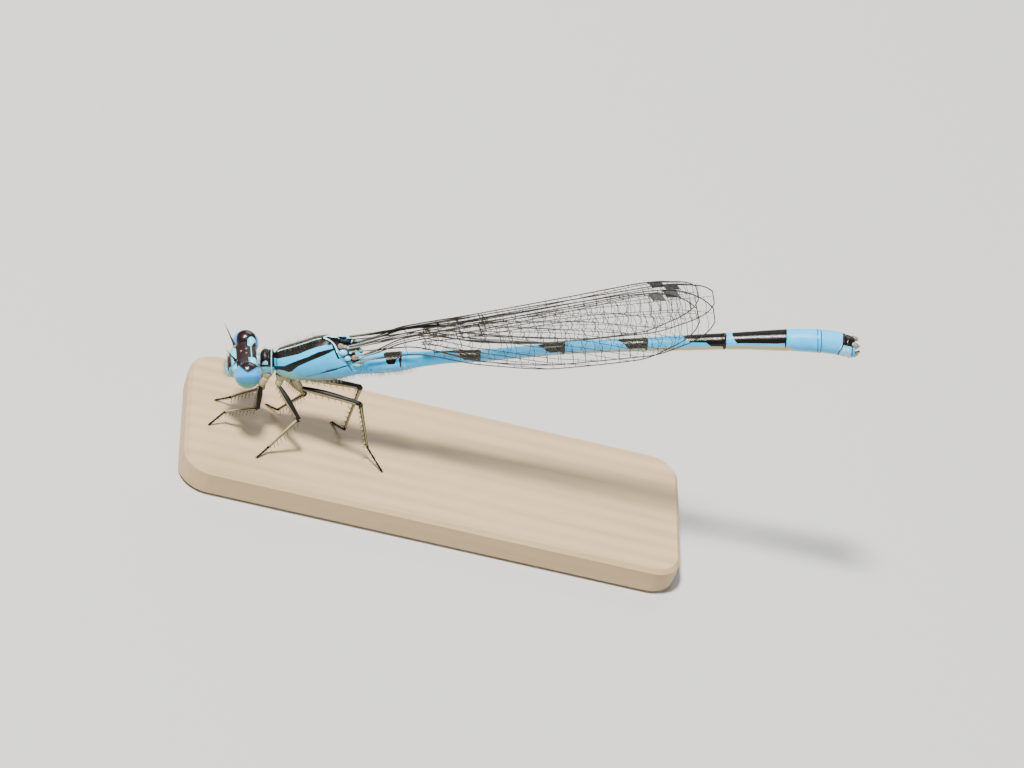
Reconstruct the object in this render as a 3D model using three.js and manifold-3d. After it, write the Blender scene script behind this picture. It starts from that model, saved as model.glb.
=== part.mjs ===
// A life-size still model of a male bluet damselfly that stands on a small wooden base.
// Millimetres, +Z up. The head points to -X, the tail to +X, and the animal's left side is -Y.
// The origin is the centre of the base's underside.

import * as THREE from 'three';
import { mergeVertices } from 'three/addons/utils/BufferGeometryUtils.js';
import Module from 'manifold-3d';

const wasm = await Module();
wasm.setup();

// Driving dimensions. The body frame has +X along the body towards the tail and its origin
// inside the front of the thorax, and it is turned tail up over the base.
const GAP = 0.25;
const TAIL_UP = THREE.MathUtils.degToRad(16.7);
const STANCE_HEIGHT = 4.69;
const BASE_LENGTH = 27;
const BASE_WIDTH = 9.5;
const BASE_THICKNESS = 1.6;
const BASE_EDGE = 0.2;
const BASE_CORNER = 1.6;
const BASE_CENTRE_X = 9.3;
const BODY_SIDES = 20;

const EYE_CENTRE = { x: -2.24, y: 1.3, z: -0.08 };
const EYE_RADII = { x: 0.69, y: 0.62, z: 0.75 };
const NECK = { from: -2.0, to: -1.1, z: -0.15, radius: 0.3 };
const ANTENNA_ROOT_RADIUS = 0.22;
const ANTENNA_TIP_RADIUS = 0.07;

const LEG_RADIUS = { coxa: 0.25, thigh: 0.29, knee: 0.25, ankle: 0.23, toe: 0.18 };
const SPINE = { radius: 0.09, length: 0.34, lean: 0.6, sides: 5, sunk: 0.12 };
const WING_THICKNESS = 0.5;
const WING_LEAN = 0.5;
const VEIN_RISE = 0.09;

// Cross-sections of the body: x, middle z, half width, height above and below the middle.
const PROTHORAX = [
  { x: -1.46, z: -0.26, width: 0.46, above: 0.5, below: 0.5 },
  { x: -1.3, z: -0.26, width: 0.6, above: 0.66, below: 0.66 },
  { x: -1.0, z: -0.26, width: 0.64, above: 0.7, below: 0.7 },
  { x: -0.84, z: -0.26, width: 0.6, above: 0.62, below: 0.64 },
];
const THORAX = [
  { x: -0.58, z: -0.2, width: 0.62, above: 0.6, below: 0.64 },
  { x: -0.35, z: -0.15, width: 0.76, above: 0.72, below: 0.86 },
  { x: 0.1, z: -0.1, width: 0.87, above: 0.82, below: 1.03 },
  { x: 0.6, z: -0.1, width: 0.93, above: 0.98, below: 1.11 },
  { x: 1.5, z: -0.05, width: 0.97, above: 1.27, below: 1.2 },
  { x: 2.2, z: 0.0, width: 0.94, above: 1.4, below: 1.2 },
  { x: 2.7, z: -0.05, width: 0.86, above: 1.25, below: 1.08 },
  { x: 3.1, z: -0.2, width: 0.68, above: 0.95, below: 0.78 },
  { x: 3.3, z: -0.3, width: 0.52, above: 0.62, below: 0.56 },
];
const ABDOMEN = [
  { x: 3.3, z: -0.42, radius: 0.47 },
  { x: 4.2, z: -0.37, radius: 0.53 },
  { x: 5.4, z: -0.25, radius: 0.52 },
  { x: 6.4, z: -0.12, radius: 0.4 },
  { x: 8.0, z: 0.05, radius: 0.34 },
  { x: 9.9, z: 0.15, radius: 0.32 },
  { x: 13.0, z: 0.5, radius: 0.315 },
  { x: 16.2, z: 0.78, radius: 0.34 },
  { x: 20.0, z: 0.99, radius: 0.39 },
  { x: 23.5, z: 1.16, radius: 0.46 },
  { x: 25.8, z: 1.2, radius: 0.57 },
  { x: 27.4, z: 1.12, radius: 0.6 },
  { x: 28.6, z: 0.9, radius: 0.57 },
  { x: 29.3, z: 0.7, radius: 0.5 },
];
const SEGMENT_ENDS = [3.3, 3.96, 5.78, 9.9, 14.28, 18.55, 22.6, 25.84, 27.5, 28.8, 29.35];

// Joints of each leg in the body frame: hip, trochanter, knee, ankle and toe.
const LEGS = {
  front_left: [[-1.2, -0.4, -0.95], [-1.48, -0.5, -1.42], [-1.67, -0.9, -2.65], [-3.44, -0.75, -3.08],
    [-4.17, -1.08, -3.65]],
  mid_left: [[-0.45, -0.42, -1.1], [-0.58, -0.52, -1.4], [0.49, -1.7, -2.76], [-1.15, -2.3, -4.19],
    [-1.64, -2.81, -4.41]],
  hind_left: [[0.3, -0.42, -1.1], [0.57, -0.5, -1.6], [3.7, -1.1, -2.21], [4.01, -1.0, -5.28],
    [4.74, -1.71, -6.32]],
  front_right: [[-1.2, 0.4, -0.95], [-1.35, 0.5, -1.44], [-1.46, 0.9, -2.8], [-3.23, 0.8, -3.36],
    [-3.91, 0.96, -3.73]],
  mid_right: [[-0.45, 0.42, -1.1], [-0.1, 0.5, -1.9], [0.76, 0.9, -3.2], [-0.73, 0.95, -4.33],
    [-1.3, 1.48, -4.51]],
  hind_right: [[0.3, 0.42, -1.1], [0.68, 0.5, -1.75], [3.67, 0.85, -2.69], [2.76, 0.55, -5.36],
    [2.14, 1.25, -5.54]],
};

// Edges of the closed wings seen from the side (x, z), from inside the thorax out to the tip.
const WINGS = {
  forewing: {
    costaY: 0.4,
    leading: [[2.3, 1.0], [2.92, 1.22], [4.2, 1.47], [5.73, 1.8], [9.9, 2.7], [14.07, 3.6], [18.76, 4.72],
      [20.7, 4.95], [21.7, 4.4], [22.04, 3.55]],
    trailing: [[2.3, 0.5], [2.92, 0.75], [4.2, 1.0], [5.9, 1.2], [7.7, 0.95], [9.4, 0.45], [12.2, 0.15],
      [16.4, 0.62], [19.4, 1.3], [21.4, 2.4], [22.04, 3.55]],
  },
  hindwing: {
    costaY: 1.16,
    leading: [[2.9, 0.3], [3.5, 0.6], [4.3, 1.15], [5.73, 1.68], [9.9, 2.6], [14.07, 3.55], [18.4, 4.62],
      [19.9, 4.85], [20.8, 4.5], [21.2, 3.7]],
    trailing: [[2.9, -0.2], [3.5, 0.15], [4.4, 0.7], [5.6, 1.1], [6.8, 1.0], [8.4, 0.5], [9.9, 0.14],
      [11.5, -0.02], [14.07, 0.21], [17.2, 0.8], [19.4, 1.75], [20.7, 2.75], [21.2, 3.7]],
  },
};

const COLOURS = {
  blue: new THREE.MeshStandardMaterial({ color: 0x55c4ee, roughness: 0.45, metalness: 0 }),
  black: new THREE.MeshStandardMaterial({ color: 0x14151c, roughness: 0.4, metalness: 0 }),
  eye: new THREE.MeshStandardMaterial({ color: 0x3fb1dd, roughness: 0.2, metalness: 0 }),
  leg: new THREE.MeshStandardMaterial({ color: 0x4a463c, roughness: 0.5, metalness: 0 }),
  wing: new THREE.MeshStandardMaterial({ color: 0xb8c2b6, roughness: 0.25, metalness: 0 }),
  wood: new THREE.MeshStandardMaterial({ color: 0xb99f74, roughness: 0.6, metalness: 0 }),
};

// A closed mesh with shared vertices, made into a solid that can be joined and cut.
function solid(geometry) {
  geometry.deleteAttribute('normal');
  geometry.deleteAttribute('uv');
  const merged = mergeVertices(geometry, 1e-4);
  const corners = merged.index.array;
  const triVerts = [];
  for (let i = 0; i < corners.length; i += 3) {
    const [a, b, c] = [corners[i], corners[i + 1], corners[i + 2]];
    if (a !== b && b !== c && c !== a) {
      triVerts.push(a, b, c);
    }
  }
  const vertProperties = new Float32Array(merged.attributes.position.array);
  return new wasm.Manifold(new wasm.Mesh({ numProp: 3, vertProperties, triVerts: new Uint32Array(triVerts) }));
}

function joined(pieces) {
  return pieces.reduce((whole, piece) => whole.add(piece));
}

// One closed body as a named mesh: its largest piece.
function node(name, body, material) {
  const largest = body.decompose().reduce((best, piece) => (piece.volume() > best.volume() ? piece : best));
  const { vertProperties, triVerts } = largest.getMesh();
  const geometry = new THREE.BufferGeometry();
  geometry.setAttribute('position', new THREE.BufferAttribute(vertProperties, 3));
  geometry.setIndex(new THREE.BufferAttribute(triVerts, 1));
  geometry.computeVertexNormals();
  const mesh = new THREE.Mesh(geometry, material);
  mesh.name = name;
  return mesh;
}

function point([x, y, z]) {
  return new THREE.Vector3(x, y, z);
}

function ellipsoid(centre, radii, grown = 0, sides = 16) {
  const geometry = new THREE.SphereGeometry(1, sides, Math.round(sides * 0.65));
  geometry.scale(radii.x + grown, radii.y + grown, radii.z + grown);
  geometry.translate(centre.x, centre.y, centre.z);
  return solid(geometry);
}

// A tapered rod between two points, with a round knob at its far end.
function rod(from, to, fromRadius, toRadius, sides = 10) {
  const along = to.clone().sub(from);
  const geometry = new THREE.CylinderGeometry(toRadius, fromRadius, along.length(), sides);
  const turn = new THREE.Quaternion().setFromUnitVectors(new THREE.Vector3(0, 1, 0), along.clone().normalize());
  geometry.applyQuaternion(turn);
  const middle = from.clone().add(to).multiplyScalar(0.5);
  geometry.translate(middle.x, middle.y, middle.z);
  return solid(geometry);
}

function knob(centre, radius) {
  const geometry = new THREE.SphereGeometry(radius, 10, 8);
  geometry.translate(centre.x, centre.y, centre.z);
  return solid(geometry);
}

// A body section is an oval whose upper half may be peaked like a roof and whose lower half is fuller.
const ROOF_POWER = 0.86;

function ovalPoint(section, angle, roof) {
  const across = Math.cos(angle);
  const up = Math.sin(angle);
  const narrowing = up > 0 && roof ? 1 - (1 - ROOF_POWER) * Math.sin(2 * angle) ** 2 : 1;
  const height = up > 0 ? section.above : section.below;
  return { y: across * section.width * narrowing, z: section.z + up * height * narrowing };
}

// A body piece drawn through its cross-sections, with flat ends.
function loft(sections, { roof = false, grown = 0 } = {}) {
  const count = sections.length - 1;
  const geometry = new THREE.CylinderGeometry(1, 1, 1, BODY_SIDES, count);
  const places = geometry.attributes.position;
  for (let i = 0; i < places.count; i += 1) {
    const step = Math.round((places.getY(i) + 0.5) * count);
    const section = sections[step];
    const reach = Math.hypot(places.getX(i), places.getZ(i));
    const angle = Math.atan2(places.getZ(i), -places.getX(i));
    const wide = {
      z: section.z,
      width: section.width + grown,
      above: section.above + grown,
      below: section.below + grown,
    };
    const rim = ovalPoint(wide, angle, roof);
    const push = step === 0 ? -grown : step === count ? grown : 0;
    places.setXYZ(i, section.x + push, rim.y * reach, section.z + (rim.z - section.z) * reach);
  }
  return solid(geometry);
}

function abdomenAt(x) {
  const next = Math.max(1, ABDOMEN.findIndex((station) => station.x >= x));
  const before = ABDOMEN[next - 1];
  const after = ABDOMEN[next];
  const share = THREE.MathUtils.smoothstep(x, before.x, after.x);
  const straight = (x - before.x) / (after.x - before.x);
  const radius = THREE.MathUtils.lerp(before.radius, after.radius, share);
  return {
    x,
    z: THREE.MathUtils.lerp(before.z, after.z, straight),
    width: radius,
    above: radius,
    below: radius,
  };
}

// Ten abdomen segments, each flared a little at its rear rim.
const SEGMENT_STEPS = 4;
const RIM_FLARE = 0.02;

function abdomenSegment(index) {
  const from = SEGMENT_ENDS[index] + GAP / 2;
  const to = SEGMENT_ENDS[index + 1] - GAP / 2;
  const sections = [];
  for (let step = 0; step <= SEGMENT_STEPS; step += 1) {
    const section = abdomenAt(THREE.MathUtils.lerp(from, to, step / SEGMENT_STEPS));
    const flare = step === SEGMENT_STEPS ? RIM_FLARE : 0;
    section.width += flare;
    section.above += flare;
    section.below += flare;
    sections.push(section);
  }
  return loft(sections);
}

// The last segment with its four short claspers, an upper and a lower pair.
const LAST_SEGMENT = SEGMENT_ENDS.length - 2;
const CLASPERS = [
  { from: [29.0, 0.22, 1.0], to: [29.48, 0.24, 1.08], radius: 0.17 },
  { from: [29.0, 0.2, 0.45], to: [29.6, 0.22, 0.62], radius: 0.2 },
];

function tailEnd() {
  const pieces = [abdomenSegment(LAST_SEGMENT)];
  for (const { from, to, radius } of CLASPERS) {
    for (const side of [-1, 1]) {
      const root = new THREE.Vector3(from[0], side * from[1], from[2]);
      const tip = new THREE.Vector3(to[0], side * to[1], to[2]);
      pieces.push(rod(root, tip, radius, radius * 0.6, 8));
    }
  }
  return joined(pieces);
}

function eyeAt(side, grown = 0) {
  const centre = { x: EYE_CENTRE.x, y: side * EYE_CENTRE.y, z: EYE_CENTRE.z };
  return ellipsoid(centre, EYE_RADII, grown, 22);
}

function neckRod(grown = 0) {
  const from = new THREE.Vector3(NECK.from - grown, 0, NECK.z);
  const to = new THREE.Vector3(NECK.to + grown, 0, NECK.z);
  return rod(from, to, NECK.radius + grown, NECK.radius + grown, 14);
}

// The head's middle between the eyes, the bulging face and the lip.
function headCore(grown = 0) {
  return joined([
    ellipsoid({ x: -2.2, y: 0, z: -0.1 }, { x: 0.58, y: 1.45, z: 0.5 }, grown),
    ellipsoid({ x: -2.62, y: 0, z: -0.25 }, { x: 0.68, y: 0.85, z: 0.5 }, grown),
    ellipsoid({ x: -3.02, y: 0, z: -0.62 }, { x: 0.46, y: 0.52, z: 0.34 }, grown),
    ellipsoid({ x: -2.5, y: 0, z: -0.6 }, { x: 0.6, y: 0.7, z: 0.4 }, grown),
  ]);
}

function head() {
  return headCore().subtract(eyeAt(-1, GAP)).subtract(eyeAt(1, GAP)).subtract(neckRod(GAP));
}

function antenna(side) {
  const root = new THREE.Vector3(-2.7, side * 0.55, 0.1);
  const tip = new THREE.Vector3(-3.33, side * 1.15, 1.62);
  return rod(root, tip, ANTENNA_ROOT_RADIUS, ANTENNA_TIP_RADIUS, 8).subtract(headCore(GAP))
    .subtract(eyeAt(side, GAP));
}

// A wing plate between its leading and trailing edges, thin at the outline and full just inside it.
// Every second line along the wing is a main vein, raised as a ridge. The veins fan out from the root.
const WING_STEPS = 29;
const WING_BANDS = 12;

function edgeCurve(points) {
  return new THREE.CatmullRomCurve3(points.map(([x, z]) => new THREE.Vector3(x, 0, z)), false, 'centripetal');
}

function wingFace(shape, side, face) {
  const leading = edgeCurve(shape.leading);
  const trailing = edgeCurve(shape.trailing);
  const geometry = new THREE.PlaneGeometry(1, 1, WING_STEPS, WING_BANDS);
  const places = geometry.attributes.position;
  for (let i = 0; i < places.count; i += 1) {
    const along = places.getX(i) + 0.5;
    const down = 0.5 - places.getY(i);
    const place = leading.getPoint(along).lerp(trailing.getPoint(along), down);
    const rim = along <= 0 || along >= 1 || down <= 0 || down >= 1;
    const isVein = Math.round(down * WING_BANDS) % 2 === 1;
    const half = rim ? 0 : WING_THICKNESS / 2 + (isVein ? VEIN_RISE : 0) - VEIN_RISE / 2;
    const middle = side * (shape.costaY + WING_LEAN * down);
    places.setXYZ(i, place.x, middle + face * half, place.z);
  }
  if (face > 0) {
    const corners = geometry.index.array;
    for (let i = 0; i < corners.length; i += 3) {
      [corners[i], corners[i + 1]] = [corners[i + 1], corners[i]];
    }
  }
  return geometry;
}

function joinFaces(first, second) {
  const positions = [...first.attributes.position.array, ...second.attributes.position.array];
  const shift = first.attributes.position.count;
  const corners = [...first.index.array, ...second.index.array.map((corner) => corner + shift)];
  const geometry = new THREE.BufferGeometry();
  geometry.setAttribute('position', new THREE.BufferAttribute(new Float32Array(positions), 3));
  geometry.setIndex(corners);
  return geometry;
}

function wing(shape, side, thoraxRoom) {
  const plate = solid(joinFaces(wingFace(shape, side, -1), wingFace(shape, side, 1)));
  return plate.subtract(thoraxRoom);
}

// The space under the level of the feet, which ends every toe in a small flat.
function spaceBelowFeet() {
  const depth = 4;
  const geometry = new THREE.BoxGeometry(60, 20, depth);
  geometry.translate(0, 0, -STANCE_HEIGHT + GAP - depth / 2);
  geometry.rotateY(TAIL_UP);
  return solid(geometry);
}

// A thin slab that parts two leg pieces across the bend of their joint.
const SLAB_WIDTH = 1.5;

function jointSlab(before, joint, after) {
  const incoming = joint.clone().sub(before).normalize();
  const outgoing = after.clone().sub(joint).normalize();
  const normal = incoming.add(outgoing).normalize();
  const geometry = new THREE.BoxGeometry(GAP, SLAB_WIDTH, SLAB_WIDTH);
  geometry.applyQuaternion(new THREE.Quaternion().setFromUnitVectors(new THREE.Vector3(1, 0, 0), normal));
  geometry.translate(joint.x, joint.y, joint.z);
  return solid(geometry);
}

// Spines in two rows along the inner side of a leg piece, leaning towards its far end.
function spines(from, to, radius, count, random) {
  const along = to.clone().sub(from).normalize();
  const inward = new THREE.Vector3(0, 0, -1).projectOnPlane(along).normalize();
  const pieces = [];
  for (const row of [-1, 1]) {
    const outward = inward.clone().applyAxisAngle(along, row * 0.75);
    for (let i = 0; i < count; i += 1) {
      const share = (i + 0.8 + 0.3 * random()) / (count + 0.8);
      const lean = SPINE.lean * (0.85 + 0.3 * random());
      const direction = outward.clone().addScaledVector(along, lean).normalize();
      const geometry = new THREE.ConeGeometry(SPINE.radius, SPINE.length, SPINE.sides);
      geometry.applyQuaternion(new THREE.Quaternion().setFromUnitVectors(new THREE.Vector3(0, 1, 0), direction));
      const root = from.clone().lerp(to, share).addScaledVector(outward, radius - SPINE.sunk);
      const middle = root.addScaledVector(direction, SPINE.length / 2);
      geometry.translate(middle.x, middle.y, middle.z);
      pieces.push(solid(geometry));
    }
  }
  return pieces;
}

// A small repeatable source of numbers between 0 and 1.
function seeded(seed) {
  let state = seed;
  return () => {
    state = (state * 16807) % 2147483647;
    return state / 2147483647;
  };
}

const FEMUR_SPINES = 3;
const TIBIA_SPINES = 5;

// A whole leg, then its femur with the coxa, its tibia and its tarsus.
function legPieces(joints, bodyRoom, floorRoom, seed) {
  const [hip, trochanter, knee, ankle, toe] = joints.map(point);
  const thigh = trochanter.clone().lerp(knee, 0.45);
  const shinEnd = knee.clone().lerp(ankle, 0.82);
  const random = seeded(seed);
  const r = LEG_RADIUS;
  const whole = joined([
    rod(hip, trochanter, r.coxa, r.coxa),
    knob(trochanter, r.coxa),
    rod(trochanter, thigh, r.coxa, r.thigh),
    rod(thigh, knee, r.thigh, r.knee),
    knob(knee, r.knee),
    rod(knee, ankle, r.knee, r.ankle),
    knob(ankle, r.ankle),
    rod(ankle, toe, r.ankle, r.toe),
    knob(toe, r.toe),
    ...spines(thigh, knee, r.thigh, FEMUR_SPINES, random),
    ...spines(knee, shinEnd, r.ankle, TIBIA_SPINES, random),
  ]);
  const parted = whole
    .subtract(bodyRoom)
    .subtract(jointSlab(trochanter, knee, ankle))
    .subtract(jointSlab(knee, ankle, toe))
    .subtract(floorRoom);
  const loose = parted.decompose();
  const nearest = (a, b) => {
    const middle = a.clone().add(b).multiplyScalar(0.5);
    const offset = (piece) => {
      const { min, max } = piece.boundingBox();
      return middle.distanceTo(new THREE.Vector3((min[0] + max[0]) / 2, (min[1] + max[1]) / 2, (min[2] + max[2]) / 2));
    };
    return loose.reduce((best, piece) => (offset(piece) < offset(best) ? piece : best));
  };
  return {
    femur: nearest(trochanter, knee),
    tibia: nearest(knee, ankle),
    tarsus: nearest(ankle, toe),
  };
}

// The wooden base, a plate with round corners whose long side follows the body.
function basePlate() {
  const corner = BASE_CORNER;
  const [halfLength, halfWidth] = [BASE_LENGTH / 2, BASE_WIDTH / 2];
  const outline = new THREE.Shape();
  outline.moveTo(-halfLength + corner, -halfWidth);
  outline.lineTo(halfLength - corner, -halfWidth);
  outline.absarc(halfLength - corner, -halfWidth + corner, corner, -Math.PI / 2, 0);
  outline.lineTo(halfLength, halfWidth - corner);
  outline.absarc(halfLength - corner, halfWidth - corner, corner, 0, Math.PI / 2);
  outline.lineTo(-halfLength + corner, halfWidth);
  outline.absarc(-halfLength + corner, halfWidth - corner, corner, Math.PI / 2, Math.PI);
  outline.lineTo(-halfLength, -halfWidth + corner);
  outline.absarc(-halfLength + corner, -halfWidth + corner, corner, Math.PI, Math.PI * 1.5);
  const geometry = new THREE.ExtrudeGeometry(outline, {
    depth: BASE_THICKNESS - 2 * BASE_EDGE,
    bevelThickness: BASE_EDGE,
    bevelSize: BASE_EDGE,
    bevelOffset: -BASE_EDGE,
    bevelSegments: 1,
    curveSegments: 6,
  });
  geometry.translate(0, 0, BASE_EDGE);
  return solid(geometry);
}

const insect = new THREE.Group();
insect.rotation.y = -TAIL_UP;
insect.position.set(-BASE_CENTRE_X, 0, BASE_THICKNESS + STANCE_HEIGHT);

insect.add(node('head', head(), COLOURS.black));
insect.add(node('neck', neckRod(), COLOURS.blue));
insect.add(node('prothorax', loft(PROTHORAX).subtract(neckRod(GAP)), COLOURS.black));
insect.add(node('thorax', loft(THORAX, { roof: true }), COLOURS.blue));

for (let index = 0; index < LAST_SEGMENT; index += 1) {
  insect.add(node(`abdomen_${index + 1}`, abdomenSegment(index), COLOURS.blue));
}
insect.add(node(`abdomen_${LAST_SEGMENT + 1}`, tailEnd(), COLOURS.blue));

const thoraxRoom = loft(THORAX, { roof: true, grown: GAP });
const bodyRoom = thoraxRoom.add(loft(PROTHORAX, { grown: GAP }));
const floorRoom = spaceBelowFeet();

for (const [sideName, side] of [['left', -1], ['right', 1]]) {
  insect.add(node(`eye_${sideName}`, eyeAt(side), COLOURS.eye));
  insect.add(node(`antenna_${sideName}`, antenna(side), COLOURS.black));
  for (const [wingName, shape] of Object.entries(WINGS)) {
    insect.add(node(`${wingName}_${sideName}`, wing(shape, side, thoraxRoom), COLOURS.wing));
  }
}

for (const [order, [legName, joints]] of Object.entries(LEGS).entries()) {
  const pieces = legPieces(joints, bodyRoom, floorRoom, 11 + order);
  for (const [pieceName, piece] of Object.entries(pieces)) {
    insect.add(node(`${pieceName}_${legName}`, piece, COLOURS.leg));
  }
}

const model = new THREE.Group();
model.add(insect);
model.add(node('stand_base', basePlate(), COLOURS.wood));

export default model;
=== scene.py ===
import math
import bmesh
import bpy
import numpy as np
from mathutils import Matrix, Vector


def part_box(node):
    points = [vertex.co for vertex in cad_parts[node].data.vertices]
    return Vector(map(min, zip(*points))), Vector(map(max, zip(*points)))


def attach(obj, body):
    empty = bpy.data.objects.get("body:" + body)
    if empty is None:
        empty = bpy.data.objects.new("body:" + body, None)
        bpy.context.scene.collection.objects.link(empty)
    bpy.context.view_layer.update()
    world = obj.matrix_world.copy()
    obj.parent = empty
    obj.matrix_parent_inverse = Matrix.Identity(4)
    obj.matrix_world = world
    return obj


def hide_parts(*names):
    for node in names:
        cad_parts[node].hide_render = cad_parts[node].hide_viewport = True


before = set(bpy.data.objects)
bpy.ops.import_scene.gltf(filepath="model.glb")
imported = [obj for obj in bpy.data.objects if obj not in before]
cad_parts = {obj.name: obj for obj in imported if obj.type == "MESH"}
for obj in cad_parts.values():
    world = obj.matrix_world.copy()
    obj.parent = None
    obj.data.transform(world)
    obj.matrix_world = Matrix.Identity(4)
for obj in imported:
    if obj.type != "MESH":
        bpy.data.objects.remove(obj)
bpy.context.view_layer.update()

# The pose: the body lies tail up over the base. Every piece of the insect is shaped in millimetres
# in the body's own frame, +X towards the tail, and this matrix then puts it over the base.
MM = 0.001
TAIL_UP = math.radians(16.7)
STANCE_HEIGHT = 4.69 * MM
BODY_FROM_BASE_CENTRE = 9.3 * MM
base_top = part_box("stand_base")[1].z
body_place = (
    Matrix.Translation((-BODY_FROM_BASE_CENTRE, 0, base_top + STANCE_HEIGHT))
    @ Matrix.Rotation(-TAIL_UP, 4, "Y")
    @ Matrix.Scale(MM, 4)
)


# The room: a plain pale floor under the base, soft light from large lamps and a pale sky, and the
# camera, which looks down on the insect's left side from the photograph's place.
FLOOR_REACH = 2.0
FLOOR_GREY = (0.55, 0.55, 0.53, 1)
FLOOR_ROUGHNESS = 0.7
VIEW_UP = math.radians(40)
VIEW_CENTRE = (11.57, 0, -1.77)
VIEW_DISTANCE = 296.0
LENS = 200
SENSOR = 36
NEAREST_SEEN = 0.01


def in_scene(name, data):
    """A new object in the scene, at the origin."""
    thing = bpy.data.objects.new(name, data)
    bpy.context.scene.collection.objects.link(thing)
    return thing


floor_corners = [(x * FLOOR_REACH, y * FLOOR_REACH, 0) for x, y in ((-1, -1), (1, -1), (1, 1), (-1, 1))]
floor_mesh = bpy.data.meshes.new("floor")
floor_mesh.from_pydata(floor_corners, [], [(0, 1, 2, 3)])
floor_paint = bpy.data.materials.new("pale_floor")
floor_paint.use_nodes = True
floor_shader = floor_paint.node_tree.nodes["Principled BSDF"]
floor_shader.inputs["Base Color"].default_value = FLOOR_GREY
floor_shader.inputs["Roughness"].default_value = FLOOR_ROUGHNESS
floor_mesh.materials.append(floor_paint)
floor = in_scene("floor", floor_mesh)

toward_camera = Vector((0, -math.cos(VIEW_UP), math.sin(VIEW_UP)))
picture_up = Vector((0, math.sin(VIEW_UP), math.cos(VIEW_UP)))
turn = body_place.to_3x3().normalized()
camera_data = bpy.data.cameras.new("camera")
camera_data.lens = LENS
camera_data.sensor_width = SENSOR
camera_data.clip_start = NEAREST_SEEN
camera = in_scene("camera", camera_data)
axes = Matrix((Vector((1, 0, 0)), picture_up, toward_camera)).transposed()
eye_point = body_place @ Vector(VIEW_CENTRE) + (turn @ toward_camera) * VIEW_DISTANCE * MM
camera.matrix_world = Matrix.Translation(eye_point) @ (turn @ axes).to_4x4()
bpy.context.scene.camera = camera

# Each lamp is a round one that faces the base: its place, its width and its power.
LAMPS = {
    "key": {"from": (-0.2, -0.08, 0.6), "size": 0.1, "watts": 10.5, "colour": (1.0, 0.98, 0.94)},
    "fill": {"from": (0.4, -0.5, 0.3), "size": 0.5, "watts": 1.3, "colour": (0.94, 0.97, 1.0)},
    "back": {"from": (0.1, 0.5, 0.4), "size": 0.4, "watts": 1.5, "colour": (1.0, 1.0, 1.0)},
}
for lamp_name, lamp in LAMPS.items():
    light = bpy.data.lights.new(lamp_name, "AREA")
    light.shape = "DISK"
    light.size = lamp["size"]
    light.energy = lamp["watts"]
    light.color = lamp["colour"]
    holder = in_scene(lamp_name, light)
    holder.location = lamp["from"]
    holder.rotation_euler = Vector(lamp["from"]).to_track_quat("Z", "Y").to_euler()
SKY_COLOUR = (0.9, 0.95, 1.0, 1)
SKY_STRENGTH = 0.2
sky = bpy.data.worlds.new("studio")
sky.use_nodes = True
sky_light = sky.node_tree.nodes["Background"]
sky_light.inputs["Color"].default_value = SKY_COLOUR
sky_light.inputs["Strength"].default_value = SKY_STRENGTH
bpy.context.scene.world = sky


# The abdomen: ten tubes of thin hard cuticle that slide a little into each other, each with a raised
# rear rim and a soft groove behind it. Blue, with black saddles and rings on the back, a paler belly
# with a seam down each side, and two thin lines near the tail.
SPINE_X = (3.0, 3.96, 5.0, 5.78, 6.2, 7.3, 8.4, 9.9, 11.0, 13.0, 14.3, 16.2, 18.55, 20.0, 21.4, 22.6,
           23.8, 24.9, 25.84, 26.7, 27.4, 28.0, 28.6, 29.0, 29.3)
SPINE_Z = (-0.45, -0.4, -0.31, -0.22, -0.17, -0.03, 0.08, 0.15, 0.27, 0.5, 0.66, 0.79, 0.91, 0.99, 1.06,
           1.12, 1.165, 1.185, 1.2, 1.18, 1.13, 1.05, 0.91, 0.79, 0.69)
GIRTH = (0.45, 0.52, 0.54, 0.525, 0.46, 0.385, 0.345, 0.325, 0.315, 0.32, 0.33, 0.34, 0.355, 0.39, 0.415,
         0.43, 0.47, 0.53, 0.57, 0.6, 0.61, 0.605, 0.6, 0.58, 0.52)
SEGMENT_ENDS = (3.35, 3.96, 5.82, 9.9, 14.28, 18.55, 22.6, 25.84, 27.55, 28.82)
RIM_RISE = 0.018
RIM_LENGTH = 0.07
GROOVE_DEPTH = 0.03
GROOVE_AFTER = 0.042
GROOVE_LENGTH = 0.049
TUBE_STEP = 0.045
FINE_RINGS_FROM = 27.2
TUBE_SIDES = 64
# The plates of the back meet the narrow soft belly in a shallow seam at each side of it.
BELLY_SEAM = math.radians(148)
SEAM_DEPTH = 0.05
SEAM_WIDTH = 0.11
BELLY_FLATNESS = 0.07
# How far the black reaches down each side of the back, in degrees, at places along the body. A reach
# of less than the least leaves the back blue.
BLACK_REACH = (
    (4.9, 0), (5.0, 26), (5.08, 55), (5.18, 64), (5.5, 64), (5.6, 36), (5.74, 30), (5.75, 96), (5.86, 96),
    (5.87, 0), (7.2, 0), (7.3, 6), (8.3, 10), (8.75, 20), (8.92, 60), (9.1, 86), (9.82, 86), (9.83, 142),
    (9.95, 142), (9.96, 0), (12.8, 0), (12.95, 10), (13.2, 34), (13.35, 62), (13.55, 84), (14.14, 84),
    (14.15, 142), (14.32, 142), (14.33, 0), (17.0, 0), (17.15, 16), (17.38, 44), (17.5, 72), (17.66, 86),
    (18.46, 86), (18.47, 120), (18.6, 120), (18.61, 0), (20.35, 0), (20.55, 20), (20.78, 50), (21.6, 56),
    (21.85, 86), (22.48, 90), (22.49, 132), (22.64, 132), (22.65, 0), (22.92, 0), (23.02, 40), (23.2, 68),
    (25.3, 71), (25.64, 68), (25.65, 96), (25.76, 96), (25.77, 0), (28.68, 0), (28.7, 52), (29.4, 52),
)
LEAST_REACH = 0.12
SIDE_DOT = {"along": 4.26, "down": math.radians(90), "radius": 0.045}
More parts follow.
